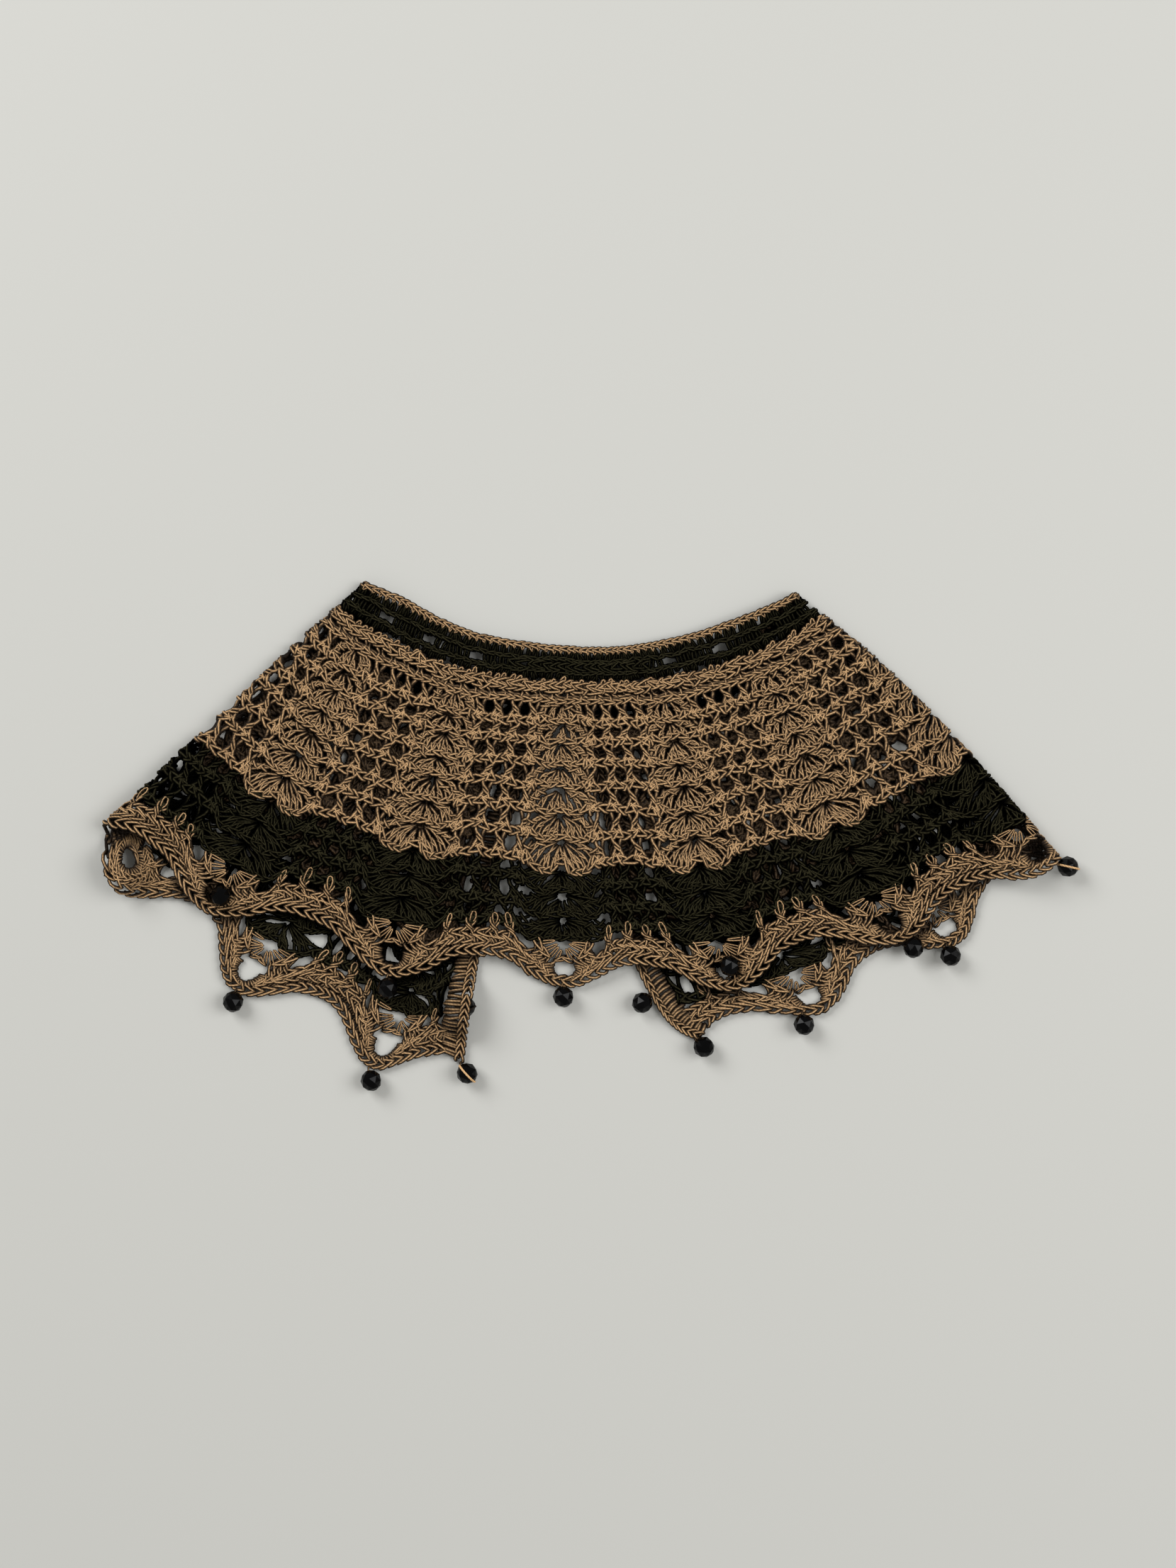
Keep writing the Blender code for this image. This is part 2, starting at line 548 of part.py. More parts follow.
def cut(part, holes):
    """Cuts holes through a wall. A hole is (u, depth, half width along the row, half height, sides)."""
    shape = bmesh.new()
    for u, depth, half_width, half_height, sides in holes:
        along, down, out = (Vector(v) for v in frame_at(np.array(u), np.array(depth)))
        centre = Vector(cloth(np.array(u), np.array(depth))) * MM
        turn = Matrix((along, down, -out)).transposed().to_4x4()
        size = Matrix.Diagonal((half_width * MM, half_height * MM, CUT_LENGTH * MM, 1.0))
        spin = Matrix.Rotation(math.pi / sides, 4, "Z")
        bmesh.ops.create_cone(shape, cap_ends=True, segments=sides, radius1=1.0, radius2=1.0, depth=1.0,
                              matrix=Matrix.Translation(centre) @ turn @ size @ spin)
    bmesh.ops.recalc_face_normals(shape, faces=shape.faces)
    mesh = bpy.data.meshes.new(part.name + "_holes")
    shape.to_mesh(mesh)
    shape.free()
    cutter = bpy.data.objects.new(part.name + "_holes", mesh)
    cutter.hide_render = True
    cutter.display_type = "WIRE"
    bpy.data.collections["cutters"].objects.link(cutter)
    boolean = part.modifiers.new("holes", "BOOLEAN")
    boolean.operation = "DIFFERENCE"
    boolean.solver = "EXACT"
    boolean.object = cutter


# ---------------------------------------------------------------- the pieces
def front_places():
    """Samples across the front: close together round the folds, the same in every repeat."""
    under = [-4.0, -3.5]
    turn = [-3.0, -2.96, -2.88, -2.75]
    rest = [-2.5, -2.25]
    whole = [-2.0 + offset for offset in REPEAT_SAMPLES] + [-1.0 + offset for offset in REPEAT_SAMPLES]
    left = np.array(under + turn + rest + whole)
    return np.concatenate([left, [0.0], -left[::-1]])


def flap_places(side):
    start, end = abs(FLAP_STARTS[side]), abs(ENDS[side])
    counts = [whole + offset for whole in (3, 4, 5) for offset in REPEAT_SAMPLES]
    counts = [count for count in counts if start + 0.04 < count < end - 0.08] + [end]
    return np.array([0.0, 0.5, 1.0] + [1.0 + count - start for count in counts])


def spike_gaps(first, last):
    """The gaps between the long spike stitches, open towards the hem band."""
    depth = ROWS["dark_3"][0] + SPIKE_GAP_DROP
    places = [repeat + place for repeat in range(first, last) for place in SPIKE_GAP_PLACES]
    return [(place, depth, *SPIKE_GAP, SPIKE_GAP_SIDES) for place in places]


def eyes(table):
    return [(*row, EYE_SIDES) for row in table]


def column_holes(table, sign=1):
    """Holes at the feet of shells. The flap tables are for the right side and sign turns them."""
    holes = []
    for u, row, drop, half_width, half_height in table:
        holes.append((sign * u, ROWS[row][0] + drop, half_width, half_height, HOLE_SIDES))
    return holes


def build_front():
    places = front_places()
    wall("neck_rim", front_u, places, row_samples("rim", "rim", 1), TAN)
    band = wall("neck_band", front_u, places, row_samples("band", "band", 2), DARK)
    slots = [FIRST_NECK_SLOT + NECK_SLOT_SPACING * k for k in range(NECK_SLOT_COUNT)]
    middle = (ROWS["rim"][0] + ROWS["band"][0]) / 2
    cut(band, [(u, middle, *NECK_SLOT, HOLE_SIDES) for u in slots])

    rows = row_samples("dense", "open", 1)[:-1] + row_samples("shells_1", "shells_7", 2)
    yoke = wall("yoke", front_u, places, rows, TAN)
    cut(yoke, column_holes(YOKE_HOLES))
    hem = wall("hem_band", front_u, places, row_samples("dark_1", "dark_3", 2), DARK)
    cut(hem, column_holes(HEM_HOLES))
    edging = wall("scallop_edging", front_u, places, row_samples("eyes", "scallops", 2), TAN)
    cut(edging, eyes(FRONT_EYES) + spike_gaps(-2, 3)[:-1] + spike_gaps(-3, -2)[1:])


def build_turned(side):
    sign = math.copysign(1.0, ENDS[side])
    u_of, places = flap_u(side), flap_places(side)
    hidden_rows = [0.0] + [ROWS[row][0] for row in ("band", "shells_1", "shells_3", "shells_5", "shells_7")]
    band_rows = row_samples("dark_1", "dark_3", 2 if side == "left" else 1)
    edging_rows = row_samples("eyes", "scallops", 2)
    wall(side + "_under_layer", u_of, places, hidden_rows, TAN, "none")

    hem = wall(side + "_flap_hem_band", u_of, places, band_rows, DARK, "inner")
    cut(hem, column_holes(FLAP_HEM_HOLES, sign))

    edging = wall(side + "_flap_edging", u_of, places, edging_rows, TAN, "inner")
    first, last = FLAP_SPIKE_REPEATS[side]
    cut(edging, eyes(FLAP_EYES[side]) + spike_gaps(first, last) + column_holes(FLAP_EDGING_HOLES[side]))

    border_rows = hidden_rows + band_rows[1:] + edging_rows[1:]
    wall(side + "_end_border", border_u(side), [0.0, 0.5, 1.0], border_rows, TAN, "inner")


def build_bead(name, x, y, seat):
    shape = bmesh.new()
    bmesh.ops.create_uvsphere(shape, u_segments=8, v_segments=6, radius=BEAD_RADIUS * MM)
    mesh = bpy.data.meshes.new(name)
    shape.to_mesh(mesh)
    shape.free()
    mesh.materials.append(material(BLACK_GLASS))
    bead = bpy.data.objects.new(name, mesh)
    bead.location = Vector((x - CENTRE[0], y - CENTRE[1], seat + BEAD_RADIUS)) * MM
    bpy.data.collections[COLLECTION].objects.link(bead)


def build():
    for thing in list(bpy.data.objects):
        bpy.data.objects.remove(thing)
    for name in (COLLECTION, "cutters"):
        collection = bpy.data.collections.new(name)
        bpy.context.scene.collection.children.link(collection)
    build_front()
    for side in TURNED:
        build_turned(side)
    for name, (x, y, seat) in BEADS.items():
        build_bead(name, x, y, seat)


build()
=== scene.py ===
import math

import bpy
import numpy as np
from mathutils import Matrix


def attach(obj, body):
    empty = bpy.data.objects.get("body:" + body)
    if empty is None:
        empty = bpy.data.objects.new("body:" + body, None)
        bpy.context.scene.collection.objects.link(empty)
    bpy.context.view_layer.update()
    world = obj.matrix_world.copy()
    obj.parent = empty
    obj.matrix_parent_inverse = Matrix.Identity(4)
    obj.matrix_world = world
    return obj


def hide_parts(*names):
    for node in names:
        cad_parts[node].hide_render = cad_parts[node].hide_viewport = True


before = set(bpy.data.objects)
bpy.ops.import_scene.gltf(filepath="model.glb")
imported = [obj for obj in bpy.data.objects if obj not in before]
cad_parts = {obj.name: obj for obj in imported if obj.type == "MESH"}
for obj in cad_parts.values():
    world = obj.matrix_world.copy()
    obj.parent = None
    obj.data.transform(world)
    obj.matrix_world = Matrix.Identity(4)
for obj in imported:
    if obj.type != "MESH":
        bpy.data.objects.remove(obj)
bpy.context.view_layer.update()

mm = 0.001
chance = np.random.default_rng(11)

# The collar is one strip of cloth. u counts pattern repeats along the neck, 0 at the middle column of
# shells, and depth runs from 0 at the neck edge to 1 at the scallop tips.
collar = {
    "thickness": 2.0,  # mm
    "layerLift": 2.95,  # underside of the front where it lies on the turned-under layer, mm
    "sag": (5.0, 32.0),  # how far outside that layer the front starts to come down, and reaches the table, mm
    "settles": (4.0, 8.0),  # it comes down from a fold over so many half heights of the fold, and mm more
    "wrap": 3.0,  # how far the front pieces run on under the folds, mm
    "centre": (0.15, 1.15),  # taken off x and y, so that the collar lies centred, mm
    "shellHalfWidth": 0.2,  # repeats from a column up to which the cloth isn't drawn up
    "meshStarts": 0.34,  # and from which on it is drawn up in full
    "archSharpness": 1.3,
    "outlinePoints": (60, 130, 16),  # on a long edge of a turned-under layer, on one of the front, on a side
}
sectionDepths = (0.0, 0.354, 0.643, 0.855, 1.0)
sections = {
    # where a column of shells lies: repeat, then x and y in mm at the neck, yoke, hem, edging and tip
    "leftFold":  (None,  -84.2, 96.3, -119.2, 64.7, -148.6,  36.4, -170.6,  15.6, -185.2,   2.6),
    "left2":     (-2.0,  -75.4, 93.0, -100.3, 48.2, -119.7,  14.6, -134.4, -10.0, -145.1, -27.4),
    "left1":     (-1.0,  -45.3, 78.4,  -57.0, 31.4,  -66.6,  -3.9,  -72.6, -31.2,  -75.7, -51.7),
    "middle":    (0.0,    -9.2, 72.5,  -11.6, 27.6,  -11.1, -11.1,  -10.2, -38.3,   -9.7, -55.4),
    "right1":    (1.0,    21.5, 73.6,   33.2, 28.4,   41.0, -10.0,   47.8, -38.0,   53.8, -56.7),
    "right2":    (2.0,    57.0, 83.7,   76.5, 39.9,   92.0,   4.7,  105.8, -21.1,  117.3, -38.8),
    "rightFold": (None,   76.0, 92.2,  113.3, 61.3,  142.4,  31.1,  162.9,   7.5,  176.6,  -8.9),
    "left3":     (-3.0,  -77.0, 74.6, -109.3, 51.1, -142.4,  22.6, -166.6,  -0.9, -180.6, -15.0),
    "left3half": (-3.5,  -65.0, 68.5,  -96.0, 37.5, -123.0,   3.8, -140.4, -20.6, -152.6, -33.4),
    "left4":     (-4.0,  -53.0, 64.0,  -82.0, 23.0, -103.5, -15.0, -120.6, -39.4, -135.8, -56.8),
    "left4half": (-4.5,  -40.5, 60.3,  -67.5, 17.0,  -82.7, -27.2,  -94.5, -50.5, -106.9, -69.8),
    "left5":     (-5.0,  -27.5, 57.0,  -52.0, 12.0,  -61.8, -39.5,  -71.6, -65.8,  -82.2, -87.0),
    "leftEnd":   (-5.4,  -16.8, 53.6,  -37.5, 10.5,  -48.6, -37.5,  -54.4, -65.5,  -56.2, -83.2),
    "leftEdge":  (-5.56, -10.0, 52.2,  -29.5,  9.0,  -41.0, -38.4,  -45.3, -66.0,  -48.0, -84.8),
    "right3half": (3.5,   55.5, 72.2,   93.7, 44.2,  125.7,  15.0,  147.2,  -7.1,  157.3, -23.2),
    "right4":    (4.0,    44.0, 61.0,   76.5, 29.2,  107.2,  -2.8,  127.5, -25.4,  138.2, -39.2),
    "right4half": (4.5,   30.5, 57.8,   58.0, 21.2,   84.1, -15.7,  102.0, -37.8,  114.2, -49.6),
    "right5":    (5.0,    17.5, 55.6,   39.0, 13.5,   61.0, -28.6,   76.4, -50.2,   86.8, -65.3),
    "rightEnd":  (5.6,     1.0, 53.6,   12.8,  8.5,   19.5, -32.5,   34.8, -63.4,   47.6, -71.6),
    "rightEdge": (5.76,   -5.6, 52.4,    5.5,  6.5,   12.0, -35.5,   28.6, -68.0,   41.2, -74.6),
}
frontSections = ["leftFold", "left2", "left1", "middle", "right1", "right2", "rightFold"]
turnedSections = {
    "left": ["leftFold", "left3", "left3half", "left4", "left4half", "left5", "leftEnd", "leftEdge"],
    "right": ["rightFold", "right3half", "right4", "right4half", "right5", "rightEnd", "rightEdge"],
}
arches = (  # first and last repeat, and how far the edge is drawn up between them, mm
    (-5.56, -5.0, 2.9), (-5.0, -3.0, 11.5), (-3.0, -2.0, 10.5), (-2.0, -1.0, 14.0), (-1.0, 0.0, 12.6),
    (0.0, 1.0, 11.3), (1.0, 2.0, 13.6), (2.0, 3.0, 10.5), (3.0, 5.0, 11.5), (5.0, 5.76, 7.6))
folds = {
    # at the depths of the sections: where the fold lies, and its half ellipse, across and upright, in mm
    "left": {"repeat": (-2.27, -2.60, -2.66, -2.75, -2.80), "reach": (1.7, 2.2, 3.4, 6.0, 8.0),
             "height": (1.45, 1.7, 2.4, 3.6, 4.4)},
    "right": {"repeat": (2.60, 2.93, 3.05, 3.09, 3.12), "reach": (1.7, 2.2, 3.4, 4.3, 5.0),
              "height": (1.45, 1.8, 2.6, 3.3, 3.8)},
}
rowEdges = {
    # depth of the row's lower edge, and how far the mesh is drawn up, as a share of the arch
    "rim": (0.028, 0.0), "band": (0.095, 0.0), "dense": (0.135, 0.0), "open": (0.166, 0.03),
    "shells1": (0.230, 0.07), "shells2": (0.287, 0.10), "shells3": (0.354, 0.14), "shells4": (0.418, 0.18),
    "shells5": (0.490, 0.23), "shells6": (0.565, 0.28), "shells7": (0.643, 0.33), "dark1": (0.714, 0.39),
    "dark2": (0.784, 0.45), "dark3": (0.855, 0.50), "eyes": (0.930, 0.75), "scallops": (1.0, 1.0),
}
beadSpots = {
    # x and y of the centre, and the height of what the bead lies on, mm
    "bead_middle": (-10.3, -58.9, 0.0), "bead_left_1": (-76.0, -55.4, 2.9),
    "bead_left_2": (-138.5, -20.9, 2.7), "bead_left_3": (-178.5, -11.6, 0.0),
    "bead_left_4": (-134.2, -60.7, 0.0), "bead_left_5": (-82.4, -90.3, 0.0),
    "bead_left_corner": (-46.4, -87.6, 0.0), "bead_left_edge": (-47.2, -62.6, 0.0),
    "bead_right_1": (52.0, -47.1, 2.7), "bead_right_2": (120.7, -40.2, 2.7),
    "bead_right_3": (178.8, -10.0, 1.0), "bead_right_4": (135.0, -43.4, 0.0),
    "bead_right_5": (80.0, -69.3, 0.0), "bead_right_corner": (42.4, -77.7, 0.0),
    "bead_right_edge": (19.3, -61.1, 0.0),
}
# a hump over a bead: height, how far from its middle it stays level, and how far its foot lies from there, mm
tents = {"bead_left_3": (8.6, 4.6, 15.0), "bead_left_edge": (8.9, 4.2, 13.0)}


# 3f² - 2f³ between low and high
def smoothstep(low, high, x):
    f = np.clip((x - low) / (high - low), 0.0, 1.0)
    return f * f * (3.0 - 2.0 * f)


# vectors drawn to a length of 1
def unit(vectors):
    return vectors / np.maximum(np.linalg.norm(vectors, axis=-1, keepdims=True), 1e-9)


# the cubic from start to end with the given end slopes, straight on where f passes 1
def hermite(start, end, leaving, arriving, f):
    curve = (start * (2 * f**3 - 3 * f**2 + 1) + leaving * (f**3 - 2 * f**2 + f)
             + end * (3 * f**2 - 2 * f**3) + arriving * (f**3 - f**2))
    return np.where(f > 1.0, end + arriving * (f - 1.0), curve)


# slopes of a smooth curve at its points: the chords on both sides, each weighted by the other's step
def slopesOf(values, steps):
    chords = np.diff(values, axis=0) / steps
    inner = (chords[:-1] * steps[1:] + chords[1:] * steps[:-1]) / (steps[1:] + steps[:-1])
    return np.concatenate([chords[:1] * 1.5 - inner[:1] * 0.5, inner, chords[-1:] * 1.5 - inner[-1:] * 0.5])


# smooth curve through the values at sectionDepths
def throughPoints(values, depth):
    knots, values = np.array(sectionDepths), np.array(values)
    steps = np.diff(knots)
    slopes = slopesOf(values, steps)
    k = np.clip(np.searchsorted(knots, depth, side="right") - 1, 0, len(steps) - 1)
    f = (depth - knots[k]) / steps[k]
    return hermite(values[k], values[k + 1], slopes[k] * steps[k], slopes[k + 1] * steps[k], f)


# x and y of a section, each a smooth curve down the cloth
def sectionPoint(name, depth):
    numbers = sections[name][1:]
    return np.stack([throughPoints(numbers[0::2], depth), throughPoints(numbers[1::2], depth)], axis=-1)


# a fold's value at any depth, in straight lines between the sections' depths
def foldValue(side, key, depth):
    return np.interp(depth, sectionDepths, folds[side][key])


# the same kind of curve as throughPoints, across the sections of one row, at u
def splineAcross(names, u, depth):
    knots = np.stack([foldValue(name[:-len("Fold")], "repeat", depth) if name.endswith("Fold")
                      else np.full(u.shape, sections[name][0]) for name in names])
    points = np.stack([sectionPoint(name, depth) for name in names])
    steps = np.diff(knots, axis=0)[..., None]
    slopes = slopesOf(points, steps)
    rising = np.sign(knots[-1] - knots[0])
    k = np.clip(np.sum((u - knots) * rising >= 0, axis=0) - 1, 0, len(names) - 2)
    n = np.arange(u.size)
    step = steps[k, n]
    f = (u - knots[k, n])[:, None] / step
    return hermite(points[k, n], points[k + 1, n], slopes[k, n] * step, slopes[k + 1, n] * step, f)


# how far a point is drawn up: arch depth × row's share × (flat between shells, 1 - |cos|^2.6 at the edge)
def meshRise(u, depth):
    rowDepths, rowShares = np.array([(0.0, 0.0), *rowEdges.values()]).T
    flatMesh = smoothstep(collar["shellHalfWidth"], collar["meshStarts"], np.abs(u - np.round(u)))
    turn, archDepth = u, np.zeros(u.shape)
    for start, end, arch in arches:
        here = (u >= start) & (u <= end)
        archDepth = np.where(here, arch, archDepth)
        if abs(end - start) < 1:
            turn = np.where(here, (u - start) / (end - start), turn)
    scallop = 1.0 - np.abs(np.cos(np.pi * turn)) ** (2 * collar["archSharpness"])
    arching = smoothstep(rowEdges["dark3"][0], 1.0, depth)
    drawnUp = flatMesh * (1.0 - arching) + scallop * arching
    return archDepth * np.interp(depth, rowDepths, rowShares) * drawnUp


# x and y on a layer: the curve across, drawn up against the way down the cloth
def layerPlan(names, u, depth, littleWay=0.01):
    base = splineAcross(names, u, depth)
    down = unit(splineAcross(names, u, depth + littleWay) - base)
    return base - down * meshRise(u, depth)[:, None]


arc = np.linspace(0.0, math.pi / 2, 60)  # angles round half a fold


# arc length of a quarter ellipse from its outermost point, at each angle of arc
def quarterLengths(reach, height):
    speed = np.hypot(reach[:, None] * np.sin(arc)[None, :], height[:, None] * np.cos(arc)[None, :])
    step = (speed[:, 1:] + speed[:, :-1]) / 2 * (arc[1] - arc[0])
    return np.concatenate([np.zeros((len(reach), 1)), np.cumsum(step, axis=1)], axis=1)


# a fold at some depths: its repeat, how far the next section is, how far it reaches, its arc lengths, and
# the length of cloth from it to that section
def foldRun(side, near, depth):
    plain = np.linalg.norm(sectionPoint(near, depth) - sectionPoint(side + "Fold", depth), axis=1)
    reach = foldValue(side, "reach", depth)
    lengths = quarterLengths(reach, foldValue(side, "height", depth))
    return foldValue(side, "repeat", depth), plain, reach, lengths, plain + lengths[:, -1] - reach


# slides u so that the cloth keeps its length round the fold: new u, angle round the fold, run past it
def aroundFold(side, names, u, depth):
    near = names[1] if names[0].startswith(side) else names[-2]
    foldU, plain, reach, lengths, whole = foldRun(side, near, depth)
    toNear = sections[near][0] - foldU
    along = (u - foldU) / toNear * whole
    low = np.clip(np.sum(lengths < along[:, None], axis=1) - 1, 0, len(arc) - 2)
    n = np.arange(u.size)
    span = lengths[n, low + 1] - lengths[n, low]
    angle = np.clip(arc[low] + (along - lengths[n, low]) / span * (arc[1] - arc[0]), 0.0, math.pi / 2)
    run = np.maximum(along - lengths[:, -1], 0.0)
    moved = foldU + (reach * (1.0 - np.cos(angle)) + run) / plain * toNear
    return np.where((along < whole) & (along >= 0.0), moved, u), np.where(along < 0.0, 0.0, angle), run


# the edge of a layer seen from above: neck, last side, scallops, first side; firstAt and lastAt are the
# repeats of its two sides, each at the neck and at the tips
def edgeOf(names, firstAt, lastAt, firstSide, lastSide, count):
    across = np.linspace(0.0, 1.0, count)
    neck, scallops = (layerPlan(names, first + (last - first) * across, np.full(count, depth))
                      for depth, first, last in zip((0.0, 1.0), firstAt, lastAt))
    return np.concatenate([neck, lastSide, scallops[::-1], firstSide[::-1]])


# how far points lie outside a closed outline, 0 inside it
def outsideBy(points, outline):
    a, b = outline, np.roll(outline, -1, axis=0)
    ab = b - a
    ap = points[:, None, :] - a[None]
    share = np.clip((ap * ab).sum(2) / np.maximum((ab * ab).sum(1), 1e-12), 0.0, 1.0)
    far = np.linalg.norm(ap - ab[None] * share[..., None], axis=2).min(1)
    x, y = points[:, 0][:, None], points[:, 1][:, None]
    crosses = (a[:, 1] > y) != (b[:, 1] > y)
    slope = ab[:, 0] / np.where(np.abs(ab[:, 1]) < 1e-9, 1e-9, ab[:, 1])
    inside = (crosses & (x < a[:, 0] + (y - a[:, 1]) * slope)).sum(1) % 2 == 1
    return np.where(inside, 0.0, far)


turnedPoints, frontPoints, sidePoints = collar["outlinePoints"]
sideDepths = np.linspace(0.0, 1.0, sidePoints)
foldAt = {side: foldValue(side, "repeat", sideDepths) for side in folds}
outlines = []  # of the turned-under layers
for side, names in turnedSections.items():
    end = sections[side + "Edge"][0]
    edges = (layerPlan(names, at, sideDepths) for at in (foldAt[side], np.full(sideDepths.size, end)))
    outlines.append(edgeOf(names, foldAt[side][[0, -1]], (end, end), *edges, turnedPoints))


# the humps over the two beads that the cloth lies on
def tentHeight(points):
    lift = np.zeros(len(points))
    for name, (height, level, foot) in tents.items():
        away = np.linalg.norm(points - np.array(beadSpots[name][:2]), axis=1)
        lift = np.maximum(lift, height * (1.0 - smoothstep(level, foot, away)))
    return lift


# the front's underside: on the turned-under layer, or sagging to the table outside its outline
def frontHeight(points):
    sag = [smoothstep(*collar["sag"], outsideBy(points, outline)) for outline in outlines]
    return collar["layerLift"] * (1.0 - np.minimum(*sag)) + tentHeight(points)


# the middle of the cloth's thickness, mm: layer plan, and z from the half ellipse of each fold
def clothMiddle(u, depth):
    left, right = foldValue("left", "repeat", depth), foldValue("right", "repeat", depth)
    out = np.zeros((u.size, 3))
    middle = (left + right) / 2
    for side, turned, ownHalf in (("left", u < left, u < middle), ("right", u > right, u >= middle)):
        for names, chosen in ((turnedSections[side], turned), (frontSections, ownHalf & ~turned)):
            if not chosen.any():
                continue
            moved, angle, run = aroundFold(side, names, u[chosen], depth[chosen])
            flat = layerPlan(names, moved, depth[chosen])
            half = foldValue(side, "height", depth[chosen])
            if names is frontSections:
                base = frontHeight(flat)
                times, more = collar["settles"]
                settle = smoothstep(0.0, 1.0, run / (times * half + more))
                top = np.maximum(2.0 * half, base)
                z = np.where(run > 0, top + (base - top) * settle, half + (top - half) * np.sin(angle))
            else:
                z = np.maximum(half * (1.0 - np.sin(angle)), tentHeight(flat) * np.sin(angle) ** 2)
            out[chosen] = np.column_stack([flat, z + collar["thickness"] / 2])
    return out - np.array([*collar["centre"], 0.0])


# The surface is worked out once on a close grid of (u, depth), a little wider than the collar, and every yarn
# is laid on it from there.
gridU = np.linspace(-5.62, 5.82, 916)
gridDepth = np.linspace(-0.03, 1.04, 161)
gridPoints = np.stack([clothMiddle(np.full(gridDepth.shape, u), gridDepth) for u in gridU])
gridAlong = np.gradient(gridPoints, gridU, axis=0)
gridDown = np.gradient(gridPoints, gridDepth, axis=1)
gridWidth = np.linalg.norm(gridAlong, axis=2)  # mm per repeat
gridDrop = np.linalg.norm(gridDown, axis=2)  # mm per unit of depth
gridOut = unit(np.cross(gridDown, gridAlong))

# painted shadow of the front on a turned-under layer: full inside the front's edge, and less and less outside
# it
underShade = {
    "pastFold": 0.06,  # repeats by which it runs on past the fold
    "fades": 5.0,  # mm outside the front's edge at which it ends
    "below": 3.4,  # only on cloth lower than this, mm
    "darker": 0.40,
}
edges = (sectionPoint(name, sideDepths) for name in ("leftFold", "rightFold"))
frontEdge = edgeOf(frontSections, foldAt["left"][[0, -1]], foldAt["right"][[0, -1]], *edges, frontPoints)
frontEdge -= np.array(collar["centre"])
gridFrontShadow = np.zeros(gridWidth.shape)
leftFolds, rightFolds = (foldValue(side, "repeat", gridDepth)[None] for side in ("left", "right"))
turnedUnder = ((gridU[:, None] < leftFolds + underShade["pastFold"])
               | (gridU[:, None] > rightFolds - underShade["pastFold"]))
away = outsideBy(gridPoints[turnedUnder][:, :2], frontEdge)
low = gridPoints[turnedUnder][:, 2] < underShade["below"]
gridFrontShadow[turnedUnder] = (1.0 - smoothstep(0.0, underShade["fades"], away)) * low
print("cloth surface worked out on", gridU.size, "x", gridDepth.size, "points")


# reads a grid at (u, depth): the four corners weighted by nearness
def readGrid(grid, points):
    i = np.clip((points[..., 0] - gridU[0]) / (gridU[1] - gridU[0]), 0, gridU.size - 1.001)
    j = np.clip((points[..., 1] - gridDepth[0]) / (gridDepth[1] - gridDepth[0]), 0, gridDepth.size - 1.001)
    i0, j0 = i.astype(int), j.astype(int)
    fi, fj = i - i0, j - j0
    if grid.ndim == 3:
        fi, fj = fi[..., None], fj[..., None]
    return ((grid[i0, j0] * (1 - fi) + grid[i0 + 1, j0] * fi) * (1 - fj)
            + (grid[i0, j0 + 1] * (1 - fi) + grid[i0 + 1, j0 + 1] * fi) * fj)


# u and depth in two columns, either of them one number for all
def places(u, depth):
    return np.column_stack(np.broadcast_arrays(u, depth))


# places moved along the cloth by so many mm: across the repeats, and down towards the scallops
def shifted(points, across, down):
    width, drop = (readGrid(grid, points) for grid in (gridWidth, gridDrop))
    return points + np.column_stack([across / width, down / drop])


# places round (repeat, depth): a distance in mm away, at an angle from straight down
def around(repeat, depth, radius, angle):
    centre = places(np.full(len(angle), float(repeat)), depth)
    return shifted(centre, radius * np.sin(angle), radius * np.cos(angle))


# the u at which a front piece ends, just under the fold
def wrapEnd(side, depth):
    near = turnedSections[side][1]
    foldU, _, _, lengths, whole = foldRun(side, near, depth)
    return foldU + (lengths[:, -1] + collar["wrap"]) / whole * (sections[near][0] - foldU)


yarn = {
    "radius": 0.70,  # mm
    "sides": 5,
    "hiddenSides": 4,  # the turned-under rows are drawn with simpler, thicker strands
    "hiddenThick": 1.2,
    "hiddenBraids": 1.6,
    "wobble": 0.36,  # how far a stitch strays from its place, mm
    "tip": 0.6,  # how far a strand's pointed end stands out, in radii
    "startsWithin": 0.05,  # the length of plied yarn, m, on which a strand starts by chance
    "aboveTable": 0.02,  # mm
    "facing": (0.56, 0.97),  # how far yarn faces outwards where light starts to reach it and where it is full
    "lowLight": 0.25,  # light on a strand that lies deep in the cloth
    "raised": 0.35,  # what is added to a strand's height for the light on the right side, mm
    "wrongSide": (0.5, 0.9),  # height where light on the wrong side ends, and span over which it grows, mm
}

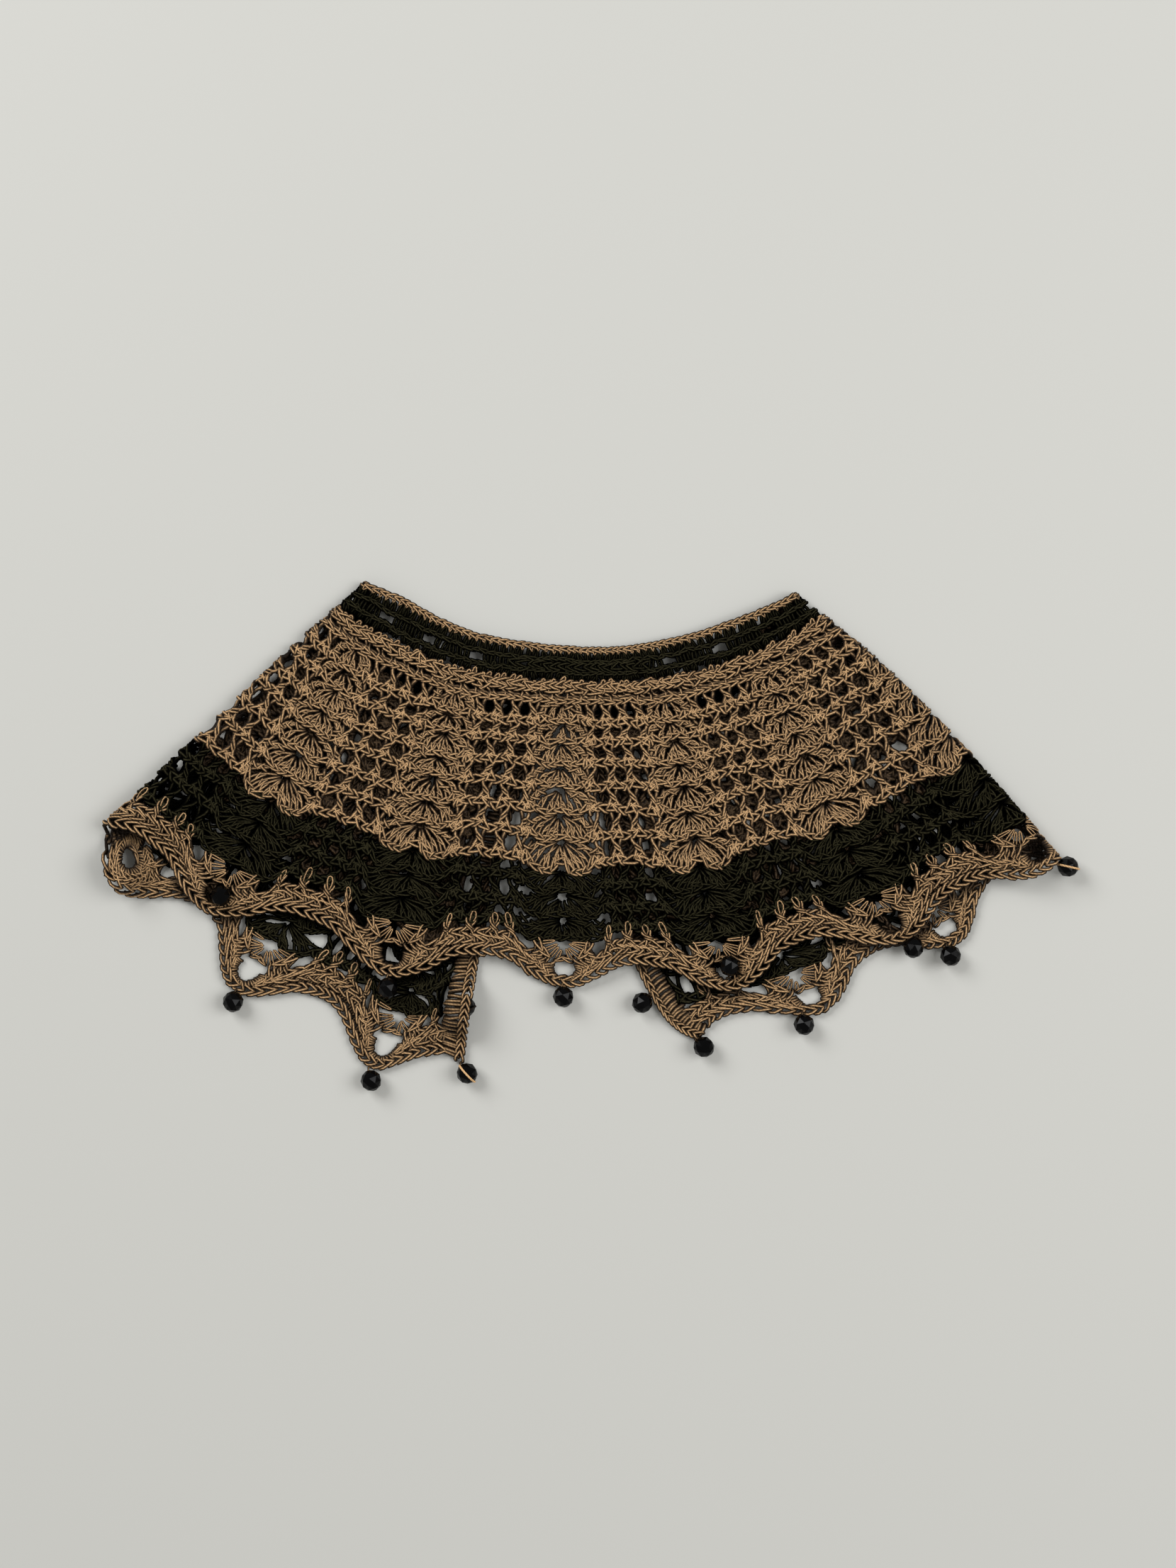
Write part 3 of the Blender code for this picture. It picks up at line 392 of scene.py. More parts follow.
# One strand of a stitch: across (mm), down (0 at the foot, 1 at the head) and up (mm from the cloth's middle)
strands = {
    # a long stitch: two legs, leaning together, and the yarn wrapped round them half way
    "legLeft": {"across": (-1.2, -1.8, -1.35, -0.9, -0.7, -0.95, -1.45, -2.2),
                "down": (-0.16, -0.02, 0.16, 0.33, 0.50, 0.67, 0.84, 1.04),
                "up": (-0.4, 0.35, 0.7, 0.4, 0.1, 0.5, 0.7, 0.2), "count": 9},
    "legRight": {"across": (1.2, 1.7, 1.25, 0.9, 0.85, 0.8, 1.25, 2.0),
                 "down": (-0.16, 0.0, 0.16, 0.33, 0.50, 0.67, 0.84, 1.04),
                 "up": (-0.4, 0.3, 0.55, 0.2, 0.0, 0.5, 0.65, 0.2), "count": 9},
    "wrap": {"across": (-1.35, -0.75, 0.35, 1.3), "down": (0.20, 0.30, 0.47, 0.58),
             "up": (-0.3, 0.95, 1.05, -0.2), "count": 5},
    "wrapLow": {"across": (-1.25, -0.6, 0.5, 1.25), "down": (0.45, 0.54, 0.68, 0.77),
                "up": (-0.3, 0.85, 0.95, -0.2), "count": 5},
    # the two legs of a short upright stitch
    "barLeft": {"across": (-0.2, -0.7, -0.75, -0.6), "down": (-0.1, 0.1, 0.6, 1.05),
                "up": (-0.4, 0.4, 0.5, 0.1), "count": 5},
    "barRight": {"across": (0.3, 0.65, 0.6, 0.7), "down": (-0.1, 0.1, 0.6, 1.05),
                 "up": (-0.4, 0.35, 0.45, 0.1), "count": 5},
    # the same in a fan: one strand at the foot, two from the middle on
    "fanLeft": {"across": (0.05, 0.0, -0.12, -0.3, -0.62, -0.85, -0.75),
                "down": (-0.10, 0.03, 0.22, 0.42, 0.62, 0.84, 1.06),
                "up": (-0.6, 0.35, 0.65, 0.45, 0.5, 0.6, 0.2), "count": 9},
    "fanRight": {"across": (-0.35, 0.2, 0.6, 0.85, 0.75), "down": (0.26, 0.40, 0.60, 0.84, 1.06),
                 "up": (-0.3, 0.5, 0.65, 0.55, 0.2), "count": 6},
    "fanWrap": {"across": (-1.0, -0.5, 0.4, 1.0), "down": (0.48, 0.56, 0.68, 0.76),
                "up": (-0.2, 0.75, 0.85, -0.1), "count": 5},
    # one link of a braid: two arms of a V and the bar behind them
    "linkLeft": {"across": (0.0, -0.35, -0.85, -1.15, -0.7), "down": (-0.35, 0.0, 0.45, 0.92, 1.22),
                 "up": (0.0, 0.85, 1.0, 0.5, -0.45), "count": 6},
    "linkRight": {"across": (0.0, 0.35, 0.85, 1.15, 0.75), "down": (-0.38, 0.0, 0.5, 0.95, 1.25),
                  "up": (-0.1, 0.6, 0.8, 0.45, -0.5), "count": 6},
    "linkBar": {"across": (1.3, 1.85, 1.9, 1.4), "down": (-0.3, 0.2, 0.75, 1.25),
                "up": (-0.3, 0.3, 0.3, -0.3), "count": 5},
    # a short stitch over an edge, and the strand that shows inside it
    "arch": {"across": (-0.95, -0.85, -0.45, 0.3, 0.75, 0.85), "down": (1.0, 0.45, 0.05, 0.0, 0.45, 1.0),
             "up": (0.0, 0.5, 0.55, 0.55, 0.45, 0.0), "count": 9},
    "core": {"across": (0.1, 0.0, -0.15, -0.3), "down": (0.22, 0.5, 0.8, 1.1),
             "up": (-0.1, 0.35, 0.45, 0.1), "count": 5},
    # a long loop drawn up over the row above, and the two halves of a tooth
    "loop": {"across": (-0.2, -0.7, -1.1, -0.95, 0.35, 1.15, 0.85, 0.2),
             "down": (1.15, 0.78, 0.38, 0.03, 0.0, 0.36, 0.74, 1.15),
             "up": (-0.1, 0.45, 0.55, 0.2, 0.15, 0.5, 0.4, -0.1), "count": 11},
    "toothLeft": {"across": (-1.1, -0.8, -0.25, -0.1), "down": (0.0, 0.35, 0.85, 1.05),
                  "up": (0.0, 0.5, 0.45, -0.2), "count": 5},
    "toothRight": {"across": (1.0, 0.75, 0.3, 0.15), "down": (0.0, 0.35, 0.8, 1.0),
                   "up": (0.0, 0.5, 0.45, -0.2), "count": 5},
    # two strands crossing over the head of a post
    "knot": {"across": (-1.7, -0.7, 0.6, 1.6), "down": (0.84, 0.90, 1.04, 1.12),
             "up": (-0.3, 0.85, 0.9, -0.3), "count": 4},
    "knotBack": {"across": (1.5, 0.4, -0.9, -1.6), "down": (0.74, 0.86, 0.98, 1.10),
                 "up": (-0.2, 0.7, 0.8, -0.2), "count": 4},
    # a short strand wrapped over a thread
    "short": {"across": (0.2, 0.1, -0.05, -0.2), "down": (-0.12, 0.1, 0.6, 1.05),
              "up": (-0.5, 0.45, 0.55, 0.1), "count": 5},
}


# Catmull-Rom curve through the rows of points, read at evenly spaced places
def smoothPath(points, count):
    ends = np.concatenate([2 * points[:1] - points[1:2], points, 2 * points[-1:] - points[-2:-1]])
    place = np.linspace(0, len(points) - 1, count)
    k = np.clip(place.astype(int), 0, len(points) - 2)
    f = (place - k)[:, None]
    a, b, c, d = ends[k], ends[k + 1], ends[k + 2], ends[k + 3]
    return 0.5 * (2 * b + (c - a) * f + (2 * a - 5 * b + 4 * c - d) * f**2 + (3 * b - a - 3 * c + d) * f**3)


# lays one strand on many stitches: foot + down × (head - foot) + across × the normal of that line, all
# measured in mm along the cloth, and lifted along the cloth's own normal; a bow bends the line sideways
def layStrand(path, feet, heads, turned, mirror, narrow, bow, radius):
    scale = np.column_stack([readGrid(grid, (feet + heads) / 2) for grid in (gridWidth, gridDrop)])
    axis = (heads - feet) * scale
    normal = unit(np.column_stack([axis[:, 1], -axis[:, 0]]))
    across = path[None, :, 0] * (mirror * narrow)[:, None]
    across = across + bow[:, None] * np.sin(np.pi * np.clip(path[None, :, 1], 0, 1))
    place = (feet[:, None] + path[None, :, 1, None] * (heads - feet)[:, None]
             + across[..., None] * (normal / scale)[:, None])
    out = readGrid(gridOut, place) * (-1.0 if turned else 1.0)
    centres = readGrid(gridPoints, place) + out * path[None, :, 2, None]
    centres[..., 2] = np.maximum(centres[..., 2], radius + yarn["aboveTable"])
    # painted shadow of the front on the turned-under layers
    light = 1.0 - underShade["darker"] * readGrid(gridFrontShadow, place)
    return centres * mm, out, np.broadcast_to(path[None, :, 2], centres.shape[:2]), light


# painted light and shade on the yarn: how far a point faces outwards × how high its strand lies
def lightOn(facing, height):
    high = yarn["lowLight"] + (1.0 - yarn["lowLight"]) * np.clip(height, 0.0, 1.0)
    return smoothstep(*yarn["facing"], facing) * high[:, :, None]


# puts a mesh into the scene as a piece of the collar
def addPiece(mesh, material):
    mesh.materials.append(material)
    piece = bpy.data.objects.new(mesh.name, mesh)
    bpy.context.scene.collection.objects.link(piece)
    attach(piece, "root")
    return piece


# Collects strands of one colour and turns them into one mesh.
class Skein:
    def __init__(self, name):
        self.name = name
        self.points, self.quads, self.tris = [], [], []
        self.uv, self.tone, self.shade = [], [], []
        self.total = 0

    # a ring of points round each centre: centre + radius × (cos a × side + sin a × up), and two end caps
    def sweep(self, centres, ups, heights, light, radius, sides):
        strandCount, steps = centres.shape[:2]
        tangents = unit(np.gradient(centres, axis=1))
        side = unit(np.cross(tangents, ups))
        up = np.cross(side, tangents)
        angle = np.arange(sides) / sides * 2 * math.pi + math.pi / 2
        ring = (np.cos(angle)[:, None] * side[:, :, None, :] + np.sin(angle)[:, None] * up[:, :, None, :])
        rings = centres[:, :, None, :] + ring * radius
        tips = np.stack([centres[:, 0] - tangents[:, 0] * radius * yarn["tip"],
                         centres[:, -1] + tangents[:, -1] * radius * yarn["tip"]], axis=1)
        points = np.concatenate([rings.reshape(strandCount, -1, 3), tips], axis=1)
        k = np.arange(sides)
        after, starts = (k + 1) % sides, np.arange(steps - 1)[:, None] * sides
        a, b = starts + k[None], starts + after[None]
        quads = np.stack([a + sides, b + sides, b, a], axis=-1).reshape(-1, 4)
        tip, last = np.full(sides, steps * sides), (steps - 1) * sides
        tris = np.concatenate([np.column_stack([tip, k, after]),
                               np.column_stack([tip + 1, last + after, last + k])])
        lengths = np.cumsum(np.linalg.norm(np.diff(centres, axis=1), axis=2), axis=1)
        lengths = np.concatenate([np.zeros((strandCount, 1)), lengths], axis=1)
        lengths = lengths + chance.random(strandCount)[:, None] * yarn["startsWithin"]
        row, column = np.divmod(np.arange((steps - 1) * sides), sides)
        corners = ((row + 1, column), (row + 1, column + 1), (row, column + 1), (row, column))
        uv = [np.stack([lengths[:, rows], np.broadcast_to(columns / sides, (strandCount, row.size))], -1)
              for rows, columns in corners]
        offset = self.total + np.arange(strandCount)[:, None, None] * points.shape[1]
        self.points.append(points.reshape(-1, 3))
        self.quads.append((quads[None] + offset).reshape(-1, 4))
        self.tris.append((tris[None] + offset).reshape(-1, 3))
        self.uv.append(np.stack(uv, axis=2).reshape(-1, 2))
        self.tone.append(np.repeat(chance.random(strandCount), points.shape[1]))
        # painted shade: yarn facing into the cloth, and strands lying deep in it, get a low shade value
        facing = 0.5 + 0.5 * (ring * ups[:, :, None, :]).sum(3)
        rightSide = lightOn(facing, heights + yarn["raised"])
        highest, span = yarn["wrongSide"]
        wrongSide = lightOn(1.0 - facing, (highest - heights) / span)
        shade = (np.maximum(rightSide, wrongSide) * light[:, :, None]).reshape(strandCount, -1)
        self.shade.append(np.concatenate([shade, np.zeros((strandCount, 2))], axis=1).ravel())
        self.total += strandCount * points.shape[1]

    # all strands as one piece, with a UV map (length along, share round), a tone for each strand, and shade
    def make(self, material, slotName):
        points = np.concatenate(self.points)
        quads, tris = np.concatenate(self.quads), np.concatenate(self.tris)
        loops = np.concatenate([quads.ravel(), tris.ravel()]).astype(np.int32)
        starts = np.concatenate([np.arange(len(quads)) * 4, len(quads) * 4 + np.arange(len(tris)) * 3])
        mesh = bpy.data.meshes.new(self.name)
        mesh.vertices.add(len(points))
        mesh.vertices.foreach_set("co", points.ravel().astype(np.float32))
        mesh.loops.add(len(loops))
        mesh.loops.foreach_set("vertex_index", loops)
        mesh.polygons.add(len(starts))
        mesh.polygons.foreach_set("loop_start", starts.astype(np.int32))
        mesh.update(calc_edges=True)
        uv = np.concatenate([*self.uv, np.zeros((tris.size, 2))])
        mesh.uv_layers.new(name="yarnLength").data.foreach_set("uv", uv.ravel().astype(np.float32))
        for name, values in (("tone", self.tone), ("shade", self.shade)):
            layer = mesh.attributes.new(name, "FLOAT", "POINT")
            layer.data.foreach_set("value", np.concatenate(values).astype(np.float32))
        mesh.shade_smooth()
        print(self.name, len(quads) * 2 + len(tris), "triangles")
        return addPiece(mesh, material)


cotton = {
    # contrast is how quickly the painted shade darkens a strand away from its lit top
    "tan": {"light": (0.91, 0.57, 0.282), "groove": (0.155, 0.074, 0.028), "deep": (0.010, 0.0048, 0.0018),
            "sheen": 0.18, "contrast": 4.0},
    "dark": {"light": (0.053, 0.047, 0.0235), "groove": (0.0042, 0.0037, 0.0020),
             "deep": (0.0003, 0.0003, 0.0002), "sheen": 0.012, "contrast": 4.6},
    "plies": 2,
    "plyPitch": 0.00125,  # m along the yarn from one ply to the next
    # shares of the strand's own tone, the ply's ridge and the fibres in a colour, and what is added; the
    # ridge share paints shade into the grooves between plies
    "tone": 0.34, "ridge": 0.36, "fibres": 0.6, "base": 0.04,
    "fullyLit": 0.92,
    "fibreScale": 420.0, "fibreDetail": 3.0, "fibreBump": 0.3,
    "bump": 0.7, "bumpDistance": 0.00016,
    "roughness": 0.6,
}


# a material of this name and its shader
def newMaterial(name, roughness=0.5, specular=0.5):
    material = bpy.data.materials.new(name)
    material.use_nodes = True
    shader = material.node_tree.nodes["Principled BSDF"]
    shader.inputs["Roughness"].default_value = roughness
    shader.inputs["Specular IOR Level"].default_value = specular
    return material, shader


# noise in Object coordinates
def objectNoise(material, scale, detail):
    nodes, links = material.node_tree.nodes, material.node_tree.links
    noise, coordinates = nodes.new("ShaderNodeTexNoise"), nodes.new("ShaderNodeTexCoord")
    noise.inputs["Scale"].default_value = scale
    noise.inputs["Detail"].default_value = detail
    links.new(coordinates.outputs["Object"], noise.inputs["Vector"])
    return noise.outputs["Fac"]


# plied yarn: |sin| of (plies × share round + length / pitch) gives the ridges, for the bump and for painted
# shade in the grooves between plies; the shade attribute to the power of the contrast paints shade on what
# lies deep between the strands
def makeCotton(name, colours):
    material, shader = newMaterial(name, cotton["roughness"], colours["sheen"])
    nodes, links = material.node_tree.nodes, material.node_tree.links

    # links a socket to another one, or sets it
    def feed(socket, value):
        if isinstance(value, bpy.types.NodeSocket):
            links.new(value, socket)
        else:
            socket.default_value = value

    # a Math node on these values or sockets
    def mathNode(operation, *values):
        node = nodes.new("ShaderNodeMath")
        node.operation = operation
        for socket, value in zip(node.inputs, values):
            feed(socket, value)
        return node.outputs[0]

    # (1 - factor) × first + factor × second
    def mixColour(factor, first, second):
        node = nodes.new("ShaderNodeMix")
        node.data_type = "RGBA"
        for socketName, value in (("Factor", factor), ("A", first), ("B", second)):
            feed(node.inputs[socketName], (*value, 1.0) if isinstance(value, tuple) else value)
        return node.outputs["Result"]

    # a value that the mesh carries at its points
    def attribute(name):
        node = nodes.new("ShaderNodeAttribute")
        node.attribute_name = name
        return node.outputs["Fac"]

    uv = nodes.new("ShaderNodeUVMap")
    uv.uv_map = "yarnLength"
    parts = nodes.new("ShaderNodeSeparateXYZ")
    links.new(uv.outputs["UV"], parts.inputs[0])
    along = mathNode("MULTIPLY", parts.outputs[0], math.pi / cotton["plyPitch"])
    phase = mathNode("MULTIPLY_ADD", parts.outputs[1], math.pi * cotton["plies"], along)
    ridge = mathNode("ABSOLUTE", mathNode("SINE", phase))
    fibres = objectNoise(material, cotton["fibreScale"], cotton["fibreDetail"])
    ply = mathNode("MULTIPLY", ridge, cotton["ridge"])
    ply = mathNode("MULTIPLY_ADD", attribute("tone"), cotton["tone"], ply)
    ply = mathNode("MULTIPLY_ADD", fibres, cotton["fibres"], mathNode("ADD", ply, cotton["base"]))
    # painted shade along the plies: the darker groove colour in the grooves, the light colour on the ridges
    colour = mixColour(ply, colours["groove"], colours["light"])
    # painted shade: the colour goes towards the deep colour where the shade attribute is low
    shade = nodes.new("ShaderNodeMapRange")
    shade.inputs["From Max"].default_value = cotton["fullyLit"]
    links.new(mathNode("POWER", attribute("shade"), colours["contrast"]), shade.inputs["Value"])
    links.new(mixColour(shade.outputs[0], colours["deep"], colour), shader.inputs["Base Color"])
    bump = nodes.new("ShaderNodeBump")
    bump.inputs["Strength"].default_value = cotton["bump"]
    bump.inputs["Distance"].default_value = cotton["bumpDistance"]
    links.new(mathNode("MULTIPLY_ADD", fibres, cotton["fibreBump"], ridge), bump.inputs["Height"])
    links.new(bump.outputs["Normal"], shader.inputs["Normal"])
    return material


tanCotton = makeCotton("tan cotton", cotton["tan"])
darkCotton = makeCotton("dark cotton", cotton["dark"])
skeins = {}
firstU, lastU = sections["leftEnd"][0], sections["rightEnd"][0]
linkArms, legs, wraps = ("linkLeft", "linkRight"), ("legLeft", "legRight"), ("wrap", "wrapLow")
uprights, shortStitch = ("barLeft", "barRight"), ("arch", "core")


# lays the named strands on every stitch, each in the skein of its layer: left turned under, front, right.
# mirror -1 turns a stitch left to right, narrow and thick scale its width and yarn, lift and bow are in mm
def lay(key, strandNames, feet, heads, mirror=1.0, narrow=1.0, thick=1.0, lift=0.0, bow=0.0):
    if not len(feet):
        return
    mirror, narrow, bow = (np.broadcast_to(np.asarray(value, float), len(feet))
                           for value in (mirror, narrow, bow))
    u, depth = ((feet + heads) / 2).T
    left, right = u < wrapEnd("left", depth), u > wrapEnd("right", depth)
    for side, chosen in (("left_", left), ("front_", ~left & ~right), ("right_", right)):
        if not chosen.any():
            continue
        skein = skeins.setdefault(side + key, Skein(side + key))
        turned = side != "front_"
        hidden = turned and key.split("_")[0] in ("rim", "band", "yoke")
        radius = yarn["radius"] * thick
        if hidden:
            radius *= yarn["hiddenBraids" if "_" in key else "hiddenThick"]
        for strandName in strandNames:
            strand = strands[strandName]
            count = max(strand["count"] - 2, 4) if hidden else strand["count"]
            path = smoothPath(np.column_stack([strand["across"], strand["down"], strand["up"]]), count)
            laid = layStrand(path + np.array([0.0, 0.0, lift]), feet[chosen], heads[chosen], turned,
                             mirror[chosen], narrow[chosen], bow[chosen], radius)
            skein.sweep(*laid, radius * mm, yarn["hiddenSides"] if hidden else yarn["sides"])


# moves points by chance, stray × the yarn's wobble on the average, so that no two stitches are alike
def wobbled(points, stray=1.0):
    across, down = chance.normal(0, yarn["wobble"] * stray, (2, len(points)))
    return shifted(points, across, down)


# a braid of links through a row of points; looks are lay's own
def braid(key, points, direction=1, bars=False, **looks):
    ends = (points[:-1], points[1:])[::direction]
    lay(key, (*linkArms, "linkBar") if bars else linkArms, *ends, **{"mirror": direction, **looks})


# places from first to last, as near to the pitch apart as a whole number of steps gives
def evenly(pitch, first=firstU, last=lastU):
    return np.linspace(first, last, max(int(round((last - first) / pitch)), 1) + 1)


# a braid along the cloth at one depth
def longBraid(key, pitch, depth, stray=1.0, first=firstU, last=lastU, **looks):
    braid(key, wobbled(places(evenly(pitch, first, last), depth), stray), **looks)


shellRows = {
    # stitches on each half of a shell, its half width in repeats, posts between shells, place of the first
    # post in repeats, direction, radius of the hole at its foot on the middle column and elsewhere in mm, how
    # far the innermost heads are drawn up and how far the links hang in mm, how much shorter the outermost
    # stitches reach as a share of the row
    "shells1": (3, 0.170, 4, 0.262, 1, 2.0, 2.0, 1.2, 1.3, 0.30),
    "shells2": (3, 0.195, 4, 0.256, -1, 2.1, 2.1, 1.3, 1.3, 0.30),
    "shells3": (4, 0.205, 4, 0.256, 1, 2.1, 2.2, 1.5, 1.4, 0.30),
    "shells4": (4, 0.212, 4, 0.256, -1, 2.2, 2.3, 1.7, 1.5, 0.32),
    "shells5": (4, 0.220, 4, 0.260, 1, 2.6, 2.5, 1.7, 1.5, 0.34),
    "shells6": (5, 0.230, 4, 0.264, -1, 2.6, 2.6, 1.8, 1.5, 0.34),
    "shells7": (6, 0.250, 4, 0.285, 1, 2.6, 2.7, 3.0, 1.9, 0.42),
    "dark1": (6, 0.275, 4, 0.320, -1, 2.7, 2.2, 2.0, 1.2, 0.28),
    "dark2": (6, 0.275, 4, 0.320, 1, 3.1, 2.2, 2.2, 1.2, 0.28),
    "dark3": (6, 0.275, 4, 0.345, -1, 3.3, 2.2, 2.2, 1.2, 0.18),
}
rowNames = list(rowEdges)
repeats = np.arange(-6, 7)
shellShape = {
    "angles": (12.0, 88.0),  # degrees from straight down at which the first and last stitch leave the hole
    "gap": 0.034,  # half width of the opening between the innermost heads, in repeats
    "drawn": (0.03, 2.2),  # least share of the row by which heads are drawn up, and power of its growth
    "notch": 1.6,  # how quickly the notch in the middle ends
    "bow": (2.0, 1.5),  # how far the outermost stitches bend outwards, mm, and power of its growth
    "lobe": (4.6, 0.6),  # how far each half of the last tan shells hangs down, mm, and power of its roundness
    "stray": 1.6,  # how much more the dark stitches stray
    "postStarts": 0.006,  # depth from the row's upper edge
    "postEnds": 0.16,  # how far above its lower edge the posts end, as a share of the row
    "lastPostEnds": -0.12,  # the same in the last row on the flaps
    # strands in the corner beside a fan: start and end down the row, and how far each lies in from the corner
    "fillers": ((0.02, 0.36, 0.17, 0.06), (0.14, 0.62, 0.085, 0.0), (0.40, 0.86, 0.035, 0.0)),
    "corner": 0.03,  # how far that corner lies outside the fan, in repeats
    "darkFillers": 2.7,  # repeats from the middle up to which the dark rows have them
    "thirds": (0.33, 0.67),  # where the links across a gap in the mesh meet
    # how thick the yarn is drawn in the tan rows and in the dark ones; a post's legs are thicker again
    "thick": (1.05, 1.0), "fans": (0.96, 1.02), "chains": (1.16, 1.3), "legs": 1.22,
}


# depth of a row's upper and lower edge
def edgesOf(name):
    above = rowNames[rowNames.index(name) - 1]
    return rowEdges[above][0], rowEdges[name][0]


# feet and heads of one row: fans about each whole repeat, their feet round the lower half of a small hole,
# and upright posts evenly between them; which of them are in fans, and how far they bow
def rowOfShells(name):
    top, bottom = edgesOf(name)
    perHalf, halfWidth, posts, firstPost, _, middleHole, hole, notch, _, roundness = shellRows[name]
    height = bottom - top
    share = np.arange(perHalf) / (perHalf - 1)
    offsets = shellShape["gap"] + share * (halfWidth - shellShape["gap"])
    drop = float(readGrid(gridDrop, np.array([0.0, top])))
    least, power = shellShape["drawn"]
    if name == "shells7":
        lobe, roundPower = shellShape["lobe"]
        drawn = (notch / drop * (1 - share) + height * (least + roundness) * share
                 - lobe / drop * np.sin(math.pi * share) ** roundPower)
    else:
        drawn = np.maximum(height * (least + roundness * share**power),
                           notch * (1 - shellShape["notch"] * share) / drop)
    ends = bottom - drawn
    first, last = shellShape["angles"]
    angles = np.radians(first + (last - first) * share)
    postPlaces = np.linspace(firstPost, 1 - firstPost, posts)
    feet, heads = [], []
    for repeat in repeats:
        radius = middleHole if repeat == 0 else hole
        left, right = (around(repeat, top, radius, side * angles) for side in (-1, 1))
        feet += [left[::-1], right, places(repeat + postPlaces, top + shellShape["postStarts"])]
        postEnds = shellShape["lastPostEnds" if name == "dark3" and abs(repeat) >= 3 else "postEnds"]
        heads += [places(repeat - offsets[::-1], ends[::-1]), places(repeat + offsets, ends),
                  places(repeat + postPlaces, bottom - height * postEnds)]
    bow = shellShape["bow"][0] * share ** shellShape["bow"][1]
    bows = np.tile(np.concatenate([-bow[::-1], bow, np.zeros(posts)]), len(repeats))
    fan = np.tile(np.repeat([True, False], [2 * perHalf, posts]), len(repeats))
    stray = shellShape["stray"] if name.startswith("dark") else 1.0
    return wobbled(np.concatenate(feet), stray), wobbled(np.concatenate(heads), stray), fan, bows


# one row: posts with their wraps and knots, fans, fillers in the corners and the braid along the lower edge
def knitRow(name):
    feet, heads, fan, bows = rowOfShells(name)
    direction, sag = shellRows[name][4], shellRows[name][8]
    dark = name.startswith("dark")
    key, thick = "hem" if dark else "yoke", shellShape["thick"][dark]
    inside = (heads[:, 0] > firstU) & (heads[:, 0] < lastU)
    feet, heads, fan, bows = feet[inside], heads[inside], fan[inside], bows[inside]
    posts, fans = (feet[~fan], heads[~fan], direction), (feet[fan], heads[fan], direction)
    lay(key, legs, *posts, narrow=1.12, thick=thick * shellShape["legs"])
    lay(key + "_chains", ("knot", "knotBack"), *posts, thick=thick)
    lay(key, ("fanLeft", "fanRight"), *fans, bow=bows[fan], thick=shellShape["fans"][dark])
    lay(key + "_braids", wraps, *posts, thick=thick)
    lay(key + "_braids", ("fanWrap",), *fans, bow=bows[fan], thick=0.92)
    top, bottom = edgesOf(name)
    for side in (-1, 1):
        corner = repeats + side * (shellRows[name][1] + shellShape["corner"])
        corner = corner[(corner > firstU) & (corner < lastU)
                        & ((np.abs(corner) < shellShape["darkFillers"]) | (not dark))]
        for start, end, footIn, headIn in shellShape["fillers"]:
            short = [wobbled(places(corner - side * inwards, top + (bottom - top) * share), stray=2.0)
                     for inwards, share in ((footIn, start), (headIn, end))]
            lay(key + "_braids", ("short", "wrap"), *short, side, narrow=1.1, thick=thick)
    # one link from head to head in a shell, three across a gap in the mesh
    a, b = heads[:-1], heads[1:]
    inShell = fan[:-1] & fan[1:]
    thirds = [wobbled(shifted(a + (b - a) * share, 0.0, sag), stray=1.3)[~inShell]
              for share in shellShape["thirds"]]
    starts, ends = np.concatenate([a[~inShell], *thirds]), np.concatenate([*thirds, b[~inShell]])
    if direction < 0:
        a, b, starts, ends = b, a, ends, starts
    lay(key + "_braids", linkArms, a[inShell], b[inShell], direction, thick=thick,
        narrow=1.15 if name == "shells7" else 0.95)
    lay(key + "_chains", linkArms, starts, ends, direction, narrow=1.4, thick=shellShape["chains"][dark])


neckRows = {
    # pitch, depth of the feet and of the heads, and lean of the heads; pitches and leans are in repeats
    "dense": (0.070, 0.1015, 0.121, -0.022),
    "open": (0.142, 0.129, 0.157, 0.045),
    "braidPitch": 0.080,
    "denseBraids": ((0.1165, 1, 0.25), (0.1275, -1, 0.1)),  # depth, direction, and lift in mm
    "openBraid": 0.1635,
    "bandRows": ((0.014, 0.044), (0.075, 0.098)),
    "bandBraids": (0.0435, 0.0765),
    # stretches between slots: middle of the first, pitch, half width, and how many, with how many stitches
    "slots": (-5.725, 0.51, 0.15, 24, 5),
    "slotDepths": (0.047, 0.075),
    "closed": (0.085, 0.060, -0.54, 0.96),  # the braid where the slots are drawn shut: pitch, depth and ends
    "rimPitch": 0.0775,
    "rimDepth": 0.008,
    "teeth": (0.011, 0.0225),
}
braidPitch = neckRows["braidPitch"]
pitch, foot, head, lean = neckRows["dense"]
u = evenly(pitch)
feet, heads = wobbled(places(u, foot), stray=1.7), wobbled(places(u + lean, head), stray=1.5)
lay("yoke", shortStitch, feet, heads, lift=0.1, thick=0.84)
for depth, direction, lift in neckRows["denseBraids"]:
    longBraid("yoke_braids", braidPitch, depth, stray=1.5, direction=direction, narrow=1.2, lift=lift)
pitch, foot, head, lean = neckRows["open"]
u = evenly(pitch)
lay("yoke", legs, wobbled(places(u, foot)), wobbled(places(u + lean, head)), narrow=0.8)
longBraid("yoke_braids", braidPitch, neckRows["openBraid"], narrow=0.85, direction=-1, bars=True)
for rowName in shellRows:
    knitRow(rowName)
print("yoke and hem rows laid")

# neck band: a row of short stitches, an open row and another row of short stitches
u = evenly(braidPitch)
for top, bottom in neckRows["bandRows"]:
    lay("band", shortStitch, *(wobbled(places(u, depth), stray=1.6) for depth in (top, bottom)))
for depth, direction in zip(neckRows["bandBraids"], (1, -1)):
    longBraid("band", braidPitch, depth, direction=direction, narrow=0.6)
start, pitch, reach, stretches, stitches = neckRows["slots"]
u = start + pitch * np.arange(stretches)
u = u[(u > firstU) & (u < lastU)]
for shift in np.linspace(-reach, reach, stitches):
    lay("band", uprights, *(wobbled(places(u + shift, depth)) for depth in neckRows["slotDepths"]))
pitch, depth, first, last = neckRows["closed"]
longBraid("band", pitch, depth, first=first, last=last, narrow=1.25, lift=0.2, bars=True)

